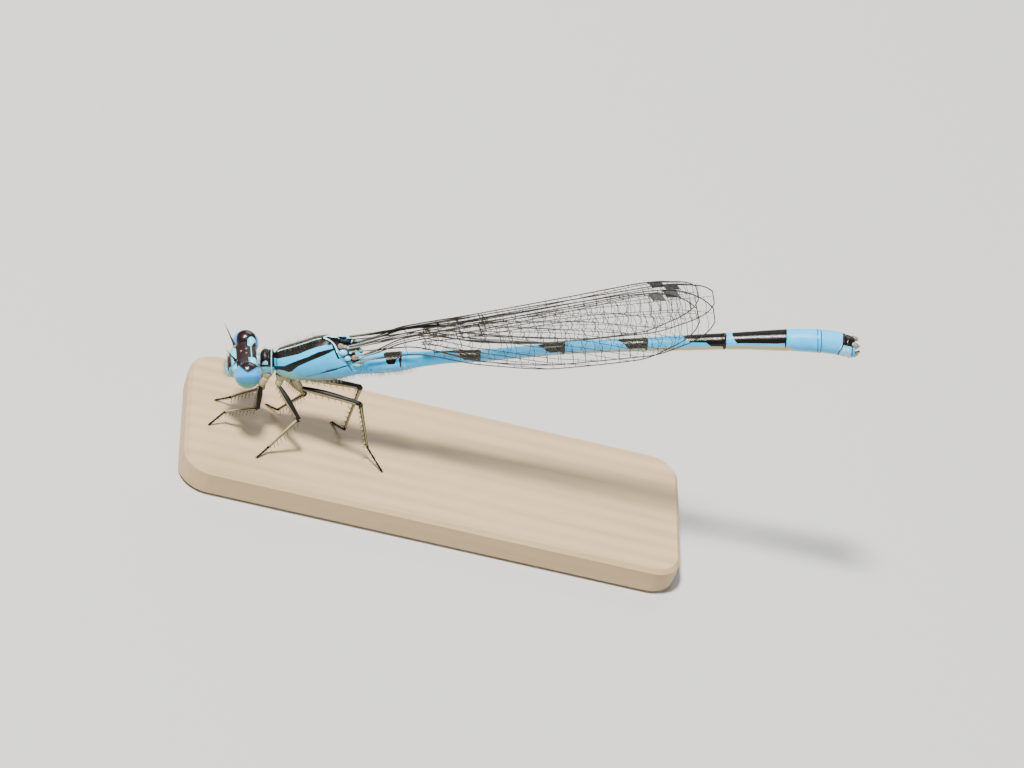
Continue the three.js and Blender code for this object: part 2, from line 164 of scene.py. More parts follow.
# The thin dark lines near the tail: where each crosses the body, at angles down from the back, and
# half its width.
LINE_ANGLES = (0, 50, 75, 90, 130, 180)
TAIL_LINES = (
    ((27.36, 27.36, 27.36, 27.36, 27.36, 27.36), 0.022),
    ((27.54, 27.54, 27.53, 27.52, 27.5, 27.5), 0.022),
    ((28.7, 28.67, 28.58, 28.48, 28.4, 28.4), 0.034),
    ((29.14, 29.14, 29.14, 29.14, 29.14, 29.14), 0.025),
)
# The pale plate on each side of the last segment: from and to along the body, and in degrees.
TAIL_PLATE = {"along": (28.5, 29.08), "down": (60, 118)}
# The cream of the belly: how far down it starts, and how strong it is along the body.
BELLY_STARTS = {"at": (25.8, 26.3), "degrees": (84, 116)}
CREAM_ALONG = (3, 9, 16, 22, 25.8, 26.5, 29.3)
CREAM_SHARE = (0, 0.1, 0.75, 1, 1, 0.75, 0.75)


def smooth_between(stations, values, at):
    """Values on a smooth curve through the stations that never swings past them."""
    stations = np.asarray(stations, float)
    values = np.asarray(values, float)
    at = np.asarray(at, float)
    slope = np.diff(values) / np.diff(stations)
    lean = np.zeros_like(values)
    lean[0] = slope[0]
    lean[-1] = slope[-1]
    same_way = slope[:-1] * slope[1:] > 0
    lean[1:-1][same_way] = 2 * (slope[:-1] * slope[1:])[same_way] / (slope[:-1] + slope[1:])[same_way]
    k = np.clip(np.searchsorted(stations, at) - 1, 0, len(values) - 2)
    step = stations[k + 1] - stations[k]
    t = (at - stations[k]) / step
    return (
        values[k] * (1 + 2 * t) * (1 - t) ** 2
        + lean[k] * step * t * (1 - t) ** 2
        + values[k + 1] * t * t * (3 - 2 * t)
        + lean[k + 1] * step * t * t * (t - 1)
    )


def between(value, low, high):
    """Above zero where a value lies between two others."""
    return np.minimum(value - low, high - value)


def closed_skin(name, rings, marks=None, place=body_place):
    """A closed mesh through rings of points, capped at both ends, with named values at its points."""
    count, around = rings.shape[:2]
    points = np.vstack([rings.reshape(-1, 3), rings[0].mean(0), rings[-1].mean(0)])
    faces = []
    for i in range(count - 1):
        for j in range(around):
            k = (j + 1) % around
            faces.append((i * around + j, i * around + k, (i + 1) * around + k, (i + 1) * around + j))
    first_cap = count * around
    for j in range(around):
        k = (j + 1) % around
        faces.append((first_cap, k, j))
        faces.append((first_cap + 1, (count - 1) * around + j, (count - 1) * around + k))
    mesh = bpy.data.meshes.new(name)
    mesh.from_pydata(points.tolist(), [], faces)
    for mark, values in (marks or {}).items():
        ends = [values[0].mean(), values[-1].mean()]
        attribute = mesh.attributes.new(mark, "FLOAT", "POINT")
        attribute.data.foreach_set("value", np.append(values.reshape(-1), ends).astype(np.float32))
    return finished_piece(name, mesh, place)


def finished_piece(name, mesh, place=body_place):
    """Puts a mesh in its place, faces outwards and smooth, as an object at the origin."""
    shape = bmesh.new()
    shape.from_mesh(mesh)
    bmesh.ops.recalc_face_normals(shape, faces=shape.faces)
    shape.to_mesh(mesh)
    shape.free()
    mesh.transform(place)
    for face in mesh.polygons:
        face.use_smooth = True
    return in_scene(name, mesh)


def new_material(name, roughness, specular=0.5):
    """A material, its node tree and its main shader."""
    material = bpy.data.materials.new(name)
    material.use_nodes = True
    tree = material.node_tree
    shader = tree.nodes["Principled BSDF"]
    shader.inputs["Roughness"].default_value = roughness
    shader.inputs["Specular IOR Level"].default_value = specular
    return material, tree, shader


def mesh_value(tree, mark):
    """A named value of the mesh."""
    value = tree.nodes.new("ShaderNodeAttribute")
    value.attribute_name = mark
    return value.outputs["Fac"]


def ranged(tree, value, low, high, to_low=0.0, to_high=1.0, line="LINEAR"):
    """A value moved from one range to another and held at both ends."""
    spread = tree.nodes.new("ShaderNodeMapRange")
    spread.interpolation_type = line
    for socket, limit in (("From Min", low), ("From Max", high), ("To Min", to_low), ("To Max", to_high)):
        spread.inputs[socket].default_value = limit
    tree.links.new(value, spread.inputs["Value"])
    return spread.outputs["Result"]


def edge_mask(tree, mark, softness=0.012):
    """1 where the named value of the mesh is above zero, 0 below, with a narrow soft edge."""
    return ranged(tree, mesh_value(tree, mark), -softness, softness, line="SMOOTHSTEP")


def colour_bands(tree, share, stops):
    """A colour that runs through stops of (place, colour) as a share goes from 0 to 1."""
    bands = tree.nodes.new("ShaderNodeValToRGB")
    elements = bands.color_ramp.elements
    elements[0].position, elements[0].color = stops[0]
    elements[1].position, elements[1].color = stops[-1]
    for place, colour in stops[1:-1]:
        elements.new(place).color = colour
    tree.links.new(share, bands.inputs["Fac"])
    return bands.outputs["Color"]


def mixed(tree, share, first, second):
    """A colour between two, each a socket or a plain colour, by a share that is a socket."""
    mix = tree.nodes.new("ShaderNodeMix")
    mix.data_type = "RGBA"
    tree.links.new(share, mix.inputs["Factor"])
    for socket, colour in ((mix.inputs[6], first), (mix.inputs[7], second)):
        if isinstance(colour, tuple):
            socket.default_value = colour
        else:
            tree.links.new(colour, socket)
    return mix.outputs[2]


NOISE_DETAIL = 4.0
NOISE_SPREAD = (0.3, 0.7)


def mottled(tree, scale, low, high):
    """A soft grey pattern between two shares, at a scale per metre of the object."""
    place = tree.nodes.new("ShaderNodeTexCoord")
    noise = tree.nodes.new("ShaderNodeTexNoise")
    noise.inputs["Scale"].default_value = scale
    noise.inputs["Detail"].default_value = NOISE_DETAIL
    tree.links.new(place.outputs["Object"], noise.inputs["Vector"])
    return ranged(tree, noise.outputs["Fac"], *NOISE_SPREAD, low, high)


def rough_grain(tree, shader, scale, depth):
    """A fine bump over the whole surface, with its depth in metres."""
    bump = tree.nodes.new("ShaderNodeBump")
    bump.inputs["Distance"].default_value = depth
    tree.links.new(mottled(tree, scale, 0.0, 1.0), bump.inputs["Height"])
    tree.links.new(bump.outputs["Normal"], shader.inputs["Normal"])


def two_tone(name, roughness, scale, first, second, specular=0.5):
    """A material mottled between two colours, at a scale per metre, with its tree and its shader."""
    material, tree, shader = new_material(name, roughness, specular)
    tree.links.new(mixed(tree, mottled(tree, scale, 0.0, 1.0), first, second), shader.inputs["Base Color"])
    return material, tree, shader


along = np.arange(SPINE_X[0], SPINE_X[-1], TUBE_STEP)
fine_rings = np.arange(FINE_RINGS_FROM, SPINE_X[-1], TUBE_STEP / 2)
along = np.append(along[along < FINE_RINGS_FROM], fine_rings)
around = np.linspace(-math.pi, math.pi, TUBE_SIDES, endpoint=False)
girth = smooth_between(SPINE_X, GIRTH, along)
for end in SEGMENT_ENDS:
    girth += RIM_RISE * np.exp(-(((along - end + RIM_LENGTH) / RIM_LENGTH) ** 2))
    girth -= GROOVE_DEPTH * np.exp(-(((along - end - GROOVE_AFTER) / GROOVE_LENGTH) ** 2))
spine_height = smooth_between(SPINE_X, SPINE_Z, along)
from_top = np.abs(around)
seam = SEAM_DEPTH * np.exp(-(((from_top - BELLY_SEAM) / SEAM_WIDTH) ** 2))
belly_flat = BELLY_FLATNESS * np.clip((from_top - BELLY_SEAM) / (math.pi - BELLY_SEAM), 0, 1)
reach_out = girth[:, None] * (1 - seam - belly_flat)[None, :]
sideways = reach_out * np.sin(around)
upwards = spine_height[:, None] + reach_out * np.cos(around)
along_all = along[:, None] + 0 * reach_out

reach_x, reach_degrees = zip(*BLACK_REACH)
black_reach = np.radians(np.interp(along, reach_x, reach_degrees))
black_reach -= LEAST_REACH * (black_reach <= LEAST_REACH)
abdomen_black = (black_reach[:, None] - from_top[None, :]) * girth[:, None]
from_dot = np.hypot(along_all - SIDE_DOT["along"], girth[:, None] * (from_top[None, :] - SIDE_DOT["down"]))
abdomen_black = np.maximum(abdomen_black, SIDE_DOT["radius"] - from_dot)
for line_places, half_width in TAIL_LINES:
    line_x = np.interp(np.degrees(from_top), LINE_ANGLES, line_places)
    abdomen_black = np.maximum(abdomen_black, half_width - np.abs(along_all - line_x[None, :]))
belly_edge = np.radians(np.interp(along, BELLY_STARTS["at"], BELLY_STARTS["degrees"]))
belly = (from_top[None, :] - belly_edge[:, None]) * girth[:, None]
down_degrees = np.degrees(from_top)[None, :] + 0 * reach_out
tail_plate = between(along_all, *TAIL_PLATE["along"])
tail_plate = np.minimum(between(down_degrees, *TAIL_PLATE["down"]) * 0.01, tail_plate)
cream = smooth_between(CREAM_ALONG, CREAM_SHARE, along)[:, None] + 0 * reach_out
abdomen = closed_skin(
    "abdomen_skin",
    np.stack([along_all, sideways, upwards], -1),
    {
        "black": abdomen_black,
        "belly": belly,
        "tail_plate": tail_plate,
        "from_top": from_top[None, :] / math.pi + 0 * reach_out,
        "cream": cream,
    },
)

# Blue cuticle that turns from sky blue on the back to a deeper blue on the sides, and is glossier
# where it is black.
BACK_TO_BELLY = (
    (0.1, (0.008, 0.5, 0.98, 1)),
    (0.5, (0.004, 0.42, 0.93, 1)),
    (0.95, (0.06, 0.48, 0.66, 1)),
)
PALE_BLUE = (0.12, 0.66, 0.92, 1)
CUTICLE_BLACK = (0.006, 0.0045, 0.003, 1)
BELLY_CREAM = (0.5, 0.48, 0.26, 1)
TAIL_PLATE_BLUE = (0.3, 0.68, 0.84, 1)
BLUE_ROUGHNESS = 0.42
BLACK_ROUGHNESS = 0.24
abdomen_cuticle, tree, shader = new_material("abdomen_cuticle", BLUE_ROUGHNESS, 0.35)
skin_tone = colour_bands(tree, mesh_value(tree, "from_top"), BACK_TO_BELLY)
skin_tone = mixed(tree, mottled(tree, 2600, 0.0, 0.35), skin_tone, PALE_BLUE)
cream_share = tree.nodes.new("ShaderNodeMath")
cream_share.operation = "MULTIPLY"
tree.links.new(edge_mask(tree, "belly", 0.07), cream_share.inputs[0])
tree.links.new(mesh_value(tree, "cream"), cream_share.inputs[1])
skin_tone = mixed(tree, cream_share.outputs["Value"], skin_tone, BELLY_CREAM)
skin_tone = mixed(tree, edge_mask(tree, "tail_plate", 0.04), skin_tone, TAIL_PLATE_BLUE)
black_share = edge_mask(tree, "black")
skin_tone = mixed(tree, black_share, skin_tone, CUTICLE_BLACK)
tree.links.new(skin_tone, shader.inputs["Base Color"])
gloss = ranged(tree, black_share, 0.0, 1.0, BLUE_ROUGHNESS, BLACK_ROUGHNESS)
tree.links.new(gloss, shader.inputs["Roughness"])
rough_grain(tree, shader, 16000, 0.000004)
abdomen.data.materials.append(abdomen_cuticle)
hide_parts(*[f"abdomen_{number}" for number in range(1, 11)])
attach(abdomen, "root")


# The claspers: two pairs of short horny hooks at the tail, hinged to the last segment, that hold the
# female's neck. The upper pair is short and blunt, the lower pair longer and bent up at its tip.
CLASPERS = {
    "upper": {
        "path": ((29.0, 0.2, 1.0), (29.25, 0.27, 1.08), (29.48, 0.25, 1.0)),
        "radius": (0.15, 0.15, 0.07),
    },
    "lower": {
        "path": ((28.95, 0.2, 0.42), (29.3, 0.27, 0.48), (29.56, 0.2, 0.62)),
        "radius": (0.2, 0.15, 0.05),
    },
}
CLASPER_RINGS = 14
CLASPER_SIDES = 14


def swept(points, radii, sides):
    """Rings of points along a path, each turned to face along it."""
    points = np.asarray(points, float)
    heading = np.gradient(points, axis=0)
    heading /= np.linalg.norm(heading, axis=1)[:, None]
    start = np.array((0.0, 1.0, 0.0)) if abs(heading[0][1]) < 0.9 else np.array((1.0, 0.0, 0.0))
    across = np.zeros_like(points)
    for i, direction in enumerate(heading):
        start = start - direction * start.dot(direction)
        start /= np.linalg.norm(start)
        across[i] = start
    over = np.cross(heading, across)
    angle = np.linspace(0, 2 * math.pi, sides, endpoint=False)
    radii = np.asarray(radii, float)[:, None, None]
    return (
        points[:, None, :]
        + radii * np.cos(angle)[None, :, None] * across[:, None, :]
        + radii * np.sin(angle)[None, :, None] * over[:, None, :]
    )


clasper_cuticle, tree, shader = two_tone(
    "clasper_cuticle", 0.35, 9000, (0.04, 0.035, 0.03, 1), (0.36, 0.36, 0.28, 1)
)
for clasper_name, clasper in CLASPERS.items():
    for side_name, side in (("left", -1), ("right", 1)):
        steps = np.linspace(0, 2, CLASPER_RINGS)
        path = np.stack([smooth_between((0, 1, 2), axis, steps) for axis in zip(*clasper["path"])], -1)
        path[:, 1] *= side
        piece = closed_skin(
            f"clasper_{clasper_name}_{side_name}",
            swept(path, smooth_between((0, 1, 2), clasper["radius"], steps), CLASPER_SIDES),
        )
        piece.data.materials.append(clasper_cuticle)
        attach(piece, "root")


# The thorax: a firm box of fused plates that holds the wings and legs, ridged along its front like a roof
# and cut by thin sutures. Black bands and blue stripes run back and up to the wing roots, where small
# hard plates hinge the wings. The places of the marks are (along the body, up as the side view shows it).
BOX_X = (-0.75, -0.62, -0.5, -0.2, 0.3, 0.9, 1.5, 2.0, 2.5, 2.9, 3.2, 3.5, 3.8)
BOX_TOP = (0.22, 0.36, 0.46, 0.58, 0.76, 1.0, 1.24, 1.33, 1.08, 0.86, 0.64, 0.36, 0.1)
BOX_BOTTOM = (-0.6, -0.78, -0.9, -1.04, -1.17, -1.22, -1.25, -1.24, -1.16, -1.05, -0.98, -0.92, -0.86)
BOX_WIDTH = (0.42, 0.6, 0.7, 0.8, 0.9, 0.94, 0.96, 0.94, 0.9, 0.84, 0.72, 0.6, 0.5)
BOX_RINGS = 190
BOX_SIDES = 144
BOX_FULLNESS = 0.93
WAIST_DROP = 0.06
# How the side view turns a point's height and its distance out into height in the picture.
SIDE_RISE = math.cos(VIEW_UP)
SIDE_OUT = math.sin(VIEW_UP)
SHOULDER_STRIPE_TOP = ((-0.78, 0.0), (-0.52, -0.04), (0.0, 0.06), (0.52, 0.18), (1.04, 0.39), (1.56, 0.57),
                       (1.9, 0.64), (2.4, 0.67))
SHOULDER_STRIPE_FOOT = ((-0.78, -0.43), (-0.21, -0.43), (0.0, -0.34), (0.52, -0.13), (1.04, 0.05),
                        (1.56, 0.29), (1.98, 0.4), (2.2, 0.45), (2.5, 0.5))
SIDE_BAND_FOOT = ((-0.78, -0.66), (-0.52, -0.61), (-0.26, -0.65), (0.0, -0.74), (0.16, -0.72),
                  (0.36, -0.56), (0.52, -0.44), (1.04, -0.21), (1.56, 0.0), (1.88, 0.13), (2.14, 0.25),
                  (2.44, 0.42))
BANDS_FROM, BANDS_TO = -0.8, 2.62
SIDE_BAND_TO = 2.5
STRIPE_END_FROM, STRIPE_END_UP = 2.3, (0.42, 0.67)
KEEL_RISE, KEEL_WIDTH, KEEL_PAINT, KEEL_ALONG = 0.035, 0.05, 0.032, (-0.58, 1.72)
WING_RIDGE = ((1.86, 0.99), (2.04, 0.93), (2.24, 0.81), (2.42, 0.6), (2.5, 0.42), (2.54, 0.24))
RIDGE_HALF_WIDTH, RIDGE_RISE = 0.04, 0.06
# The hollow of the back between the wings, with where it starts at three heights.
HOLLOW_STARTS = {"up": (0.24, 0.6, 0.99), "along": (2.6, 2.5, 2.0)}
HOLLOW_DEPTH, HOLLOW_HALF_WIDTH, HOLLOW_END = 0.12, 0.55, 3.3
# Where the painted shade on the back under the wing hinges lies along the body, and its half width.
BACK_SHADE_ALONG, BACK_SHADE_HALF_WIDTH = (2.35, 3.45), 0.42
# Lines as (points, half width): black sutures, then the faint one. Each lies in a shallow groove.
DARK_LINES = (
    (((2.3, 0.7), (2.38, 0.5), (2.46, 0.3), (2.6, -0.04)), 0.05),
    (((1.67, -0.81), (2.29, -0.65), (2.66, -0.54), (3.05, -0.42)), 0.03),
    (((1.95, -0.73), (2.25, -0.655), (2.5, -0.6)), 0.045),
    (((2.66, -0.03), (2.87, -0.18), (3.18, -0.42)), 0.02),
    (((2.82, -0.03), (3.02, -0.21), (3.26, -0.36)), 0.018),
    (((2.6, 0.0), (2.87, 0.01), (3.07, 0.1)), 0.02),
    (((3.05, -0.42), (3.18, -0.49), (3.28, -0.68)), 0.025),
    (((-0.6, -0.4), (-0.6, 0.1)), 0.022),
)
FAINT_SUTURE = (((0.9, -0.98), (1.3, -0.9), (1.67, -0.81)), 0.018)
GROOVE_SPREAD = 1.6
GROOVE_SHARE = 0.03
LOWER_FRONT = ((-0.78, -0.62), (-0.1, -0.72), (0.2, -0.74), (0.42, -0.9), (0.6, -1.3))
UNDERSIDE_BELOW = -0.95
UNMARKED = -0.1


def band_edge(line, place):
    """The height of a mark's edge at places along the body."""
    x, height = zip(*line)
    return np.interp(place, x, height)


def near_line(place, height, line, half_width):
    """Above zero within half a width of a line of (along, up) points, in millimetres."""
    best = np.full(place.shape, 9.0)
    for (x0, h0), (x1, h1) in zip(line[:-1], line[1:]):
        run = np.array((x1 - x0, h1 - h0))
        share = np.clip(((place - x0) * run[0] + (height - h0) * run[1]) / run.dot(run), 0, 1)
        best = np.minimum(best, np.hypot(place - x0 - share * run[0], height - h0 - share * run[1]))
    return half_width - best


box_along = np.linspace(BOX_X[0], BOX_X[-1], BOX_RINGS)
box_around = np.linspace(-math.pi, math.pi, BOX_SIDES, endpoint=False)
top = smooth_between(BOX_X, BOX_TOP, box_along)
bottom = smooth_between(BOX_X, BOX_BOTTOM, box_along)
half_width = smooth_between(BOX_X, BOX_WIDTH, box_along)
waist = (top + bottom) / 2 - WAIST_DROP
lift = np.cos(box_around)[None, :]
swing = np.sin(box_around)[None, :]
full_lift = np.sign(lift) * np.abs(lift) ** BOX_FULLNESS
full_swing = np.sign(swing) * np.abs(swing) ** BOX_FULLNESS
x = np.repeat(box_along[:, None], BOX_SIDES, 1)
y = half_width[:, None] * full_swing
z = waist[:, None] + np.where(lift > 0, (top - waist)[:, None], (waist - bottom)[:, None]) * full_lift

# The raised ridge along the middle of the front, and the ridges that run out to the forewings.
on_front = np.clip((2.0 - x) / 0.2, 0, 1) * (lift > 0)
z = z + KEEL_RISE * np.exp(-((y / KEEL_WIDTH) ** 2)) * on_front
side_height = SIDE_RISE * z - SIDE_OUT * np.abs(y)
wing_ridge = near_line(x, side_height, WING_RIDGE, RIDGE_HALF_WIDTH)
z = z + RIDGE_RISE * np.clip(1 + wing_ridge / RIDGE_RISE, 0, 1) * (x > 1.7) * (lift > 0)
hollow_start = np.interp(side_height, HOLLOW_STARTS["up"], HOLLOW_STARTS["along"])
hollow = np.clip((x - hollow_start) / 0.2, 0, 1) * np.clip((HOLLOW_END - x) / 0.5, 0, 1)
hollow = hollow * np.clip(1 - np.abs(y) / HOLLOW_HALF_WIDTH, 0, 1) * (lift > 0)
z = z - HOLLOW_DEPTH * hollow
grooves = np.full(x.shape, -9.0)
for line, width in DARK_LINES + (FAINT_SUTURE,):
    grooves = np.maximum(grooves, near_line(x, side_height, line, width * GROOVE_SPREAD))
y = y * (1 - GROOVE_SHARE * np.clip(grooves / 0.03, 0, 1))

# The black: the band along the back, the band low on the side, the sutures, and painted shade on the top of
# the back between the wing roots, under the hinge plates.
back_band = side_height - band_edge(SHOULDER_STRIPE_TOP, x)
back_band = np.minimum(back_band, between(x, BANDS_FROM, BANDS_TO))
stripe_end = x - (STRIPE_END_FROM + 0.1 * (STRIPE_END_UP[1] - side_height))
back_band = np.maximum(back_band, np.minimum(stripe_end, side_height - STRIPE_END_UP[0]))
back_band = np.minimum(back_band, 0.02 + np.maximum(2.6 - x, 0) + np.minimum(side_height + 0.1, 0))
side_band = between(side_height, band_edge(SIDE_BAND_FOOT, x), band_edge(SHOULDER_STRIPE_FOOT, x))
side_band = np.minimum(side_band, SIDE_BAND_TO - x)
black = np.maximum(back_band, side_band)
for line, width in DARK_LINES:
    black = np.maximum(black, near_line(x, side_height, line, width))
# Painted shade: the top of the back under the wing hinges is painted black.
back_shade = np.minimum(BACK_SHADE_HALF_WIDTH - np.abs(y), np.minimum(between(x, *BACK_SHADE_ALONG), lift))
black = np.maximum(black, back_shade)
black = np.where(lift < -0.2, UNMARKED, black)
keel = np.minimum(KEEL_PAINT - np.abs(y), between(x, *KEEL_ALONG))
pale = np.maximum(np.where(lift > 0, keel, UNMARKED), np.where(lift > -0.3, wing_ridge - 0.004, UNMARKED))
thorax = closed_skin(
    "thorax_skin",
    np.stack([x, y, z], -1),
    {
        "black": black,
        "pale": pale,
        "faint": near_line(x, side_height, *FAINT_SUTURE),
        "lower_front": np.minimum(band_edge(LOWER_FRONT, x) - side_height, LOWER_FRONT[-1][0] - x),
        "underside": UNDERSIDE_BELOW - side_height,
        "side_height": side_height,
    },
)

# Sky blue above and deeper below, greener at the lower front and the underside.
BLUE_LOW, BLUE_HIGH = (0.004, 0.38, 0.84, 1), (0.012, 0.55, 0.98, 1)
BLUE_LEVELS = (-0.95, 0.35)
UNDERSIDE_GREEN = (0.2, 0.36, 0.34, 1)
FRONT_GREEN = (0.22, 0.5, 0.42, 1)
SUTURE_BLUE = (0.01, 0.2, 0.34, 1)
THORAX_BLACK = (0.006, 0.0045, 0.004, 1)
RIDGE_PALE = (0.5, 0.85, 0.92, 1)
thorax_cuticle, tree, shader = new_material("thorax_cuticle", 0.38, 0.28)
skin_tone = mixed(tree, ranged(tree, mesh_value(tree, "side_height"), *BLUE_LEVELS), BLUE_LOW, BLUE_HIGH)
skin_tone = mixed(tree, mottled(tree, 2200, 0.0, 0.25), skin_tone, PALE_BLUE)
for mark, softness, colour in (
    ("underside", 0.16, UNDERSIDE_GREEN),
    ("lower_front", 0.12, FRONT_GREEN),
    ("faint", 0.02, SUTURE_BLUE),
    ("black", 0.012, THORAX_BLACK),
    ("pale", 0.012, RIDGE_PALE),
):
    skin_tone = mixed(tree, edge_mask(tree, mark, softness), skin_tone, colour)
tree.links.new(skin_tone, shader.inputs["Base Color"])
rough_grain(tree, shader, 14000, 0.000005)
thorax.data.materials.append(thorax_cuticle)
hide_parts("thorax")
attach(thorax, "root")


# The wing hinges: small hard plates between thorax and wing roots, most of them pale blue, some
# the brown of bare hinge skin, each a little pillow on a soft cushion that lets it move. The cushions
# are painted near black as the shade that falls in the gaps between the plates.
# A plate is its middle, its radii, its colour and its sides, -1 for the left and 1 for the right.
BOTH_SIDES = (-1, 1)
HINGE_PLATES = (
    # The two cushions on each side, painted near black: painted shade between the plates.
    ((2.93, 0.42, 0.8), (0.32, 0.17, 0.2), "dark", BOTH_SIDES),
    ((3.42, 0.45, 0.35), (0.28, 0.2, 0.23), "dark", BOTH_SIDES),
    ((2.67, 0.5, 1.04), (0.12, 0.11, 0.11), "pale", (1,)),
    ((2.86, 0.44, 1.08), (0.14, 0.12, 0.12), "pale", (1,)),
    ((3.13, 0.44, 0.96), (0.14, 0.12, 0.12), "pale", (1,)),
    ((3.4, 0.5, 0.7), (0.1, 0.09, 0.09), "pale", (1,)),
    ((2.72, 0.36, 1.06), (0.17, 0.13, 0.17), "brown", (-1,)),
    ((2.95, 0.36, 1.03), (0.12, 0.1, 0.11), "brown", (-1,)),
    ((3.1, 0.38, 1.0), (0.08, 0.08, 0.08), "pale", (-1,)),
    ((3.22, 0.5, 0.76), (0.09, 0.08, 0.07), "pale", (-1,)),
    ((2.85, 0.57, 0.79), (0.23, 0.13, 0.2), "blue", BOTH_SIDES),
    ((3.08, 0.66, 0.47), (0.18, 0.1, 0.19), "blue", BOTH_SIDES),
    ((3.43, 0.6, 0.5), (0.18, 0.12, 0.16), "brown", BOTH_SIDES),
    ((3.76, 0.58, 0.56), (0.14, 0.1, 0.11), "pale", BOTH_SIDES),
    ((3.56, 0.5, 0.64), (0.08, 0.07, 0.06), "pale", BOTH_SIDES),
    ((3.55, 0.6, 0.06), (0.24, 0.12, 0.16), "blue", BOTH_SIDES),
    ((3.74, 0.54, 0.02), (0.13, 0.11, 0.13), "pale", BOTH_SIDES),
    ((3.46, 0.61, -0.31), (0.11, 0.07, 0.07), "pale", BOTH_SIDES),
)
# Each colour is a pair that the plate is mottled with, and a roughness.
HINGE_COLOURS = {
    "pale": ((0.5, 0.78, 0.84, 1), (0.2, 0.52, 0.62, 1), 0.32),
    "blue": ((0.12, 0.6, 0.9, 1), (0.36, 0.74, 0.92, 1), 0.32),
    "brown": ((0.46, 0.36, 0.26, 1), (0.12, 0.06, 0.045, 1), 0.4),
    # The cushions' near black is painted shade between the plates.
    "dark": ((0.006, 0.02, 0.035, 1), (0.012, 0.05, 0.08, 1), 0.7),
}
HINGE_SHADE_BLACK = (0.012, 0.012, 0.016, 1)
# Painted shade: a plate is darkened towards black where it faces inwards and down, away from the light,
# from a little earlier on the left than on the right.
HINGE_SHADE_SHIFT = 0.15
hinge_paints = {}
for paint_name, (first, second, roughness) in HINGE_COLOURS.items():
    paint, tree, shader = new_material(f"hinge_{paint_name}", roughness, 0.3)
    plate_tone = mixed(tree, mottled(tree, 9000, 0.0, 1.0), first, second)
    # Painted shade: the plate turns near black on the side that faces inwards and down.
    plate_tone = mixed(tree, edge_mask(tree, "gap", 0.12), plate_tone, HINGE_SHADE_BLACK)
    tree.links.new(plate_tone, shader.inputs["Base Color"])
    hinge_paints[paint_name] = paint


def pillows(name, places, paints, place=body_place):
    """One mesh of small rounded pillows, each on the sides that it is given for."""
    shape = bmesh.new()
    gap = shape.verts.layers.float.new("gap")
    for (along_at, out_at, up_at), radii, paint_name, sides in places:
        for side in sides:
            middle = Vector((along_at, side * out_at, up_at))
            outward = Vector((0, side * 0.6, 0.8))
            ball = bmesh.ops.create_icosphere(shape, subdivisions=3, radius=1.0)["verts"]
            for vertex in ball:
                vertex.co = middle + Vector([value * radius for value, radius in zip(vertex.co, radii)])
                # How far the point faces inwards and down, which the hinge paints darken as painted shade.
                vertex[gap] = -HINGE_SHADE_SHIFT * side - (vertex.co - middle).normalized().dot(outward)
            for face in {face for vertex in ball for face in vertex.link_faces}:
                face.material_index = list(paints).index(paint_name)
    mesh = bpy.data.meshes.new(name)
    shape.to_mesh(mesh)
    shape.free()
    for paint in paints.values():
        mesh.materials.append(paint)
    return finished_piece(name, mesh, place)


hinges = pillows("wing_hinges", HINGE_PLATES, hinge_paints)
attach(hinges, "root")


# The saddle: a small ring of hard cuticle with a raised hind rim, black above with a blue spot on each
# side. It carries the front legs and is hung between the thorax and the neck.
SADDLE_X = (-1.5, -1.44, -1.36, -1.25, -1.12, -1.02, -0.93, -0.87, -0.83, -0.78, -0.7)
SADDLE_WIDTH = (0.36, 0.46, 0.54, 0.6, 0.6, 0.57, 0.6, 0.64, 0.6, 0.5, 0.4)
SADDLE_HEIGHT = (0.42, 0.56, 0.66, 0.72, 0.7, 0.65, 0.7, 0.74, 0.68, 0.56, 0.4)
SADDLE_Z = -0.24
SADDLE_RINGS = 90
SADDLE_SIDES = 96
SADDLE_BLACK_ABOVE = -0.47
SIDE_SPOT = ((-1.38, -0.33), (-1.3, -0.2), (-1.19, -0.14), (-1.07, -0.2), (-1.05, -0.34))
SIDE_SPOT_ALONG = (-1.38, -1.05)
SIDE_SPOT_ABOVE = -0.35
RIM_ALONG = (-0.905, -0.855)

saddle_along = np.linspace(SADDLE_X[0], SADDLE_X[-1], SADDLE_RINGS)
saddle_around = np.linspace(-math.pi, math.pi, SADDLE_SIDES, endpoint=False)
width = smooth_between(SADDLE_X, SADDLE_WIDTH, saddle_along)
tall = smooth_between(SADDLE_X, SADDLE_HEIGHT, saddle_along)
x = np.repeat(saddle_along[:, None], SADDLE_SIDES, 1)
y = width[:, None] * np.sin(saddle_around)[None, :]
z = SADDLE_Z + tall[:, None] * np.cos(saddle_around)[None, :]
side_height = SIDE_RISE * z - SIDE_OUT * np.abs(y)
on_top = np.cos(saddle_around)[None, :] + 0.55 + 0 * x
side_spot = between(side_height, SIDE_SPOT_ABOVE, band_edge(SIDE_SPOT, x))
side_spot = np.minimum(side_spot, between(x, *SIDE_SPOT_ALONG))
black = np.minimum(np.minimum(side_height - SADDLE_BLACK_ABOVE, on_top), -side_spot)
rim = np.minimum(between(x, *RIM_ALONG), on_top)
prothorax = closed_skin("prothorax_skin", np.stack([x, y, z], -1), {"black": black, "pale": rim})
saddle_cuticle, tree, shader = new_material("saddle_cuticle", 0.38, 0.28)
skin_tone = mixed(tree, mottled(tree, 5000, 0.0, 1.0), (0.07, 0.46, 0.7, 1), (0.25, 0.62, 0.74, 1))
skin_tone = mixed(tree, edge_mask(tree, "black"), skin_tone, THORAX_BLACK)
skin_tone = mixed(tree, edge_mask(tree, "pale"), skin_tone, RIDGE_PALE)
tree.links.new(skin_tone, shader.inputs["Base Color"])
rough_grain(tree, shader, 12000, 0.000008)
prothorax.data.materials.append(saddle_cuticle)
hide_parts("prothorax")
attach(prothorax, "root")


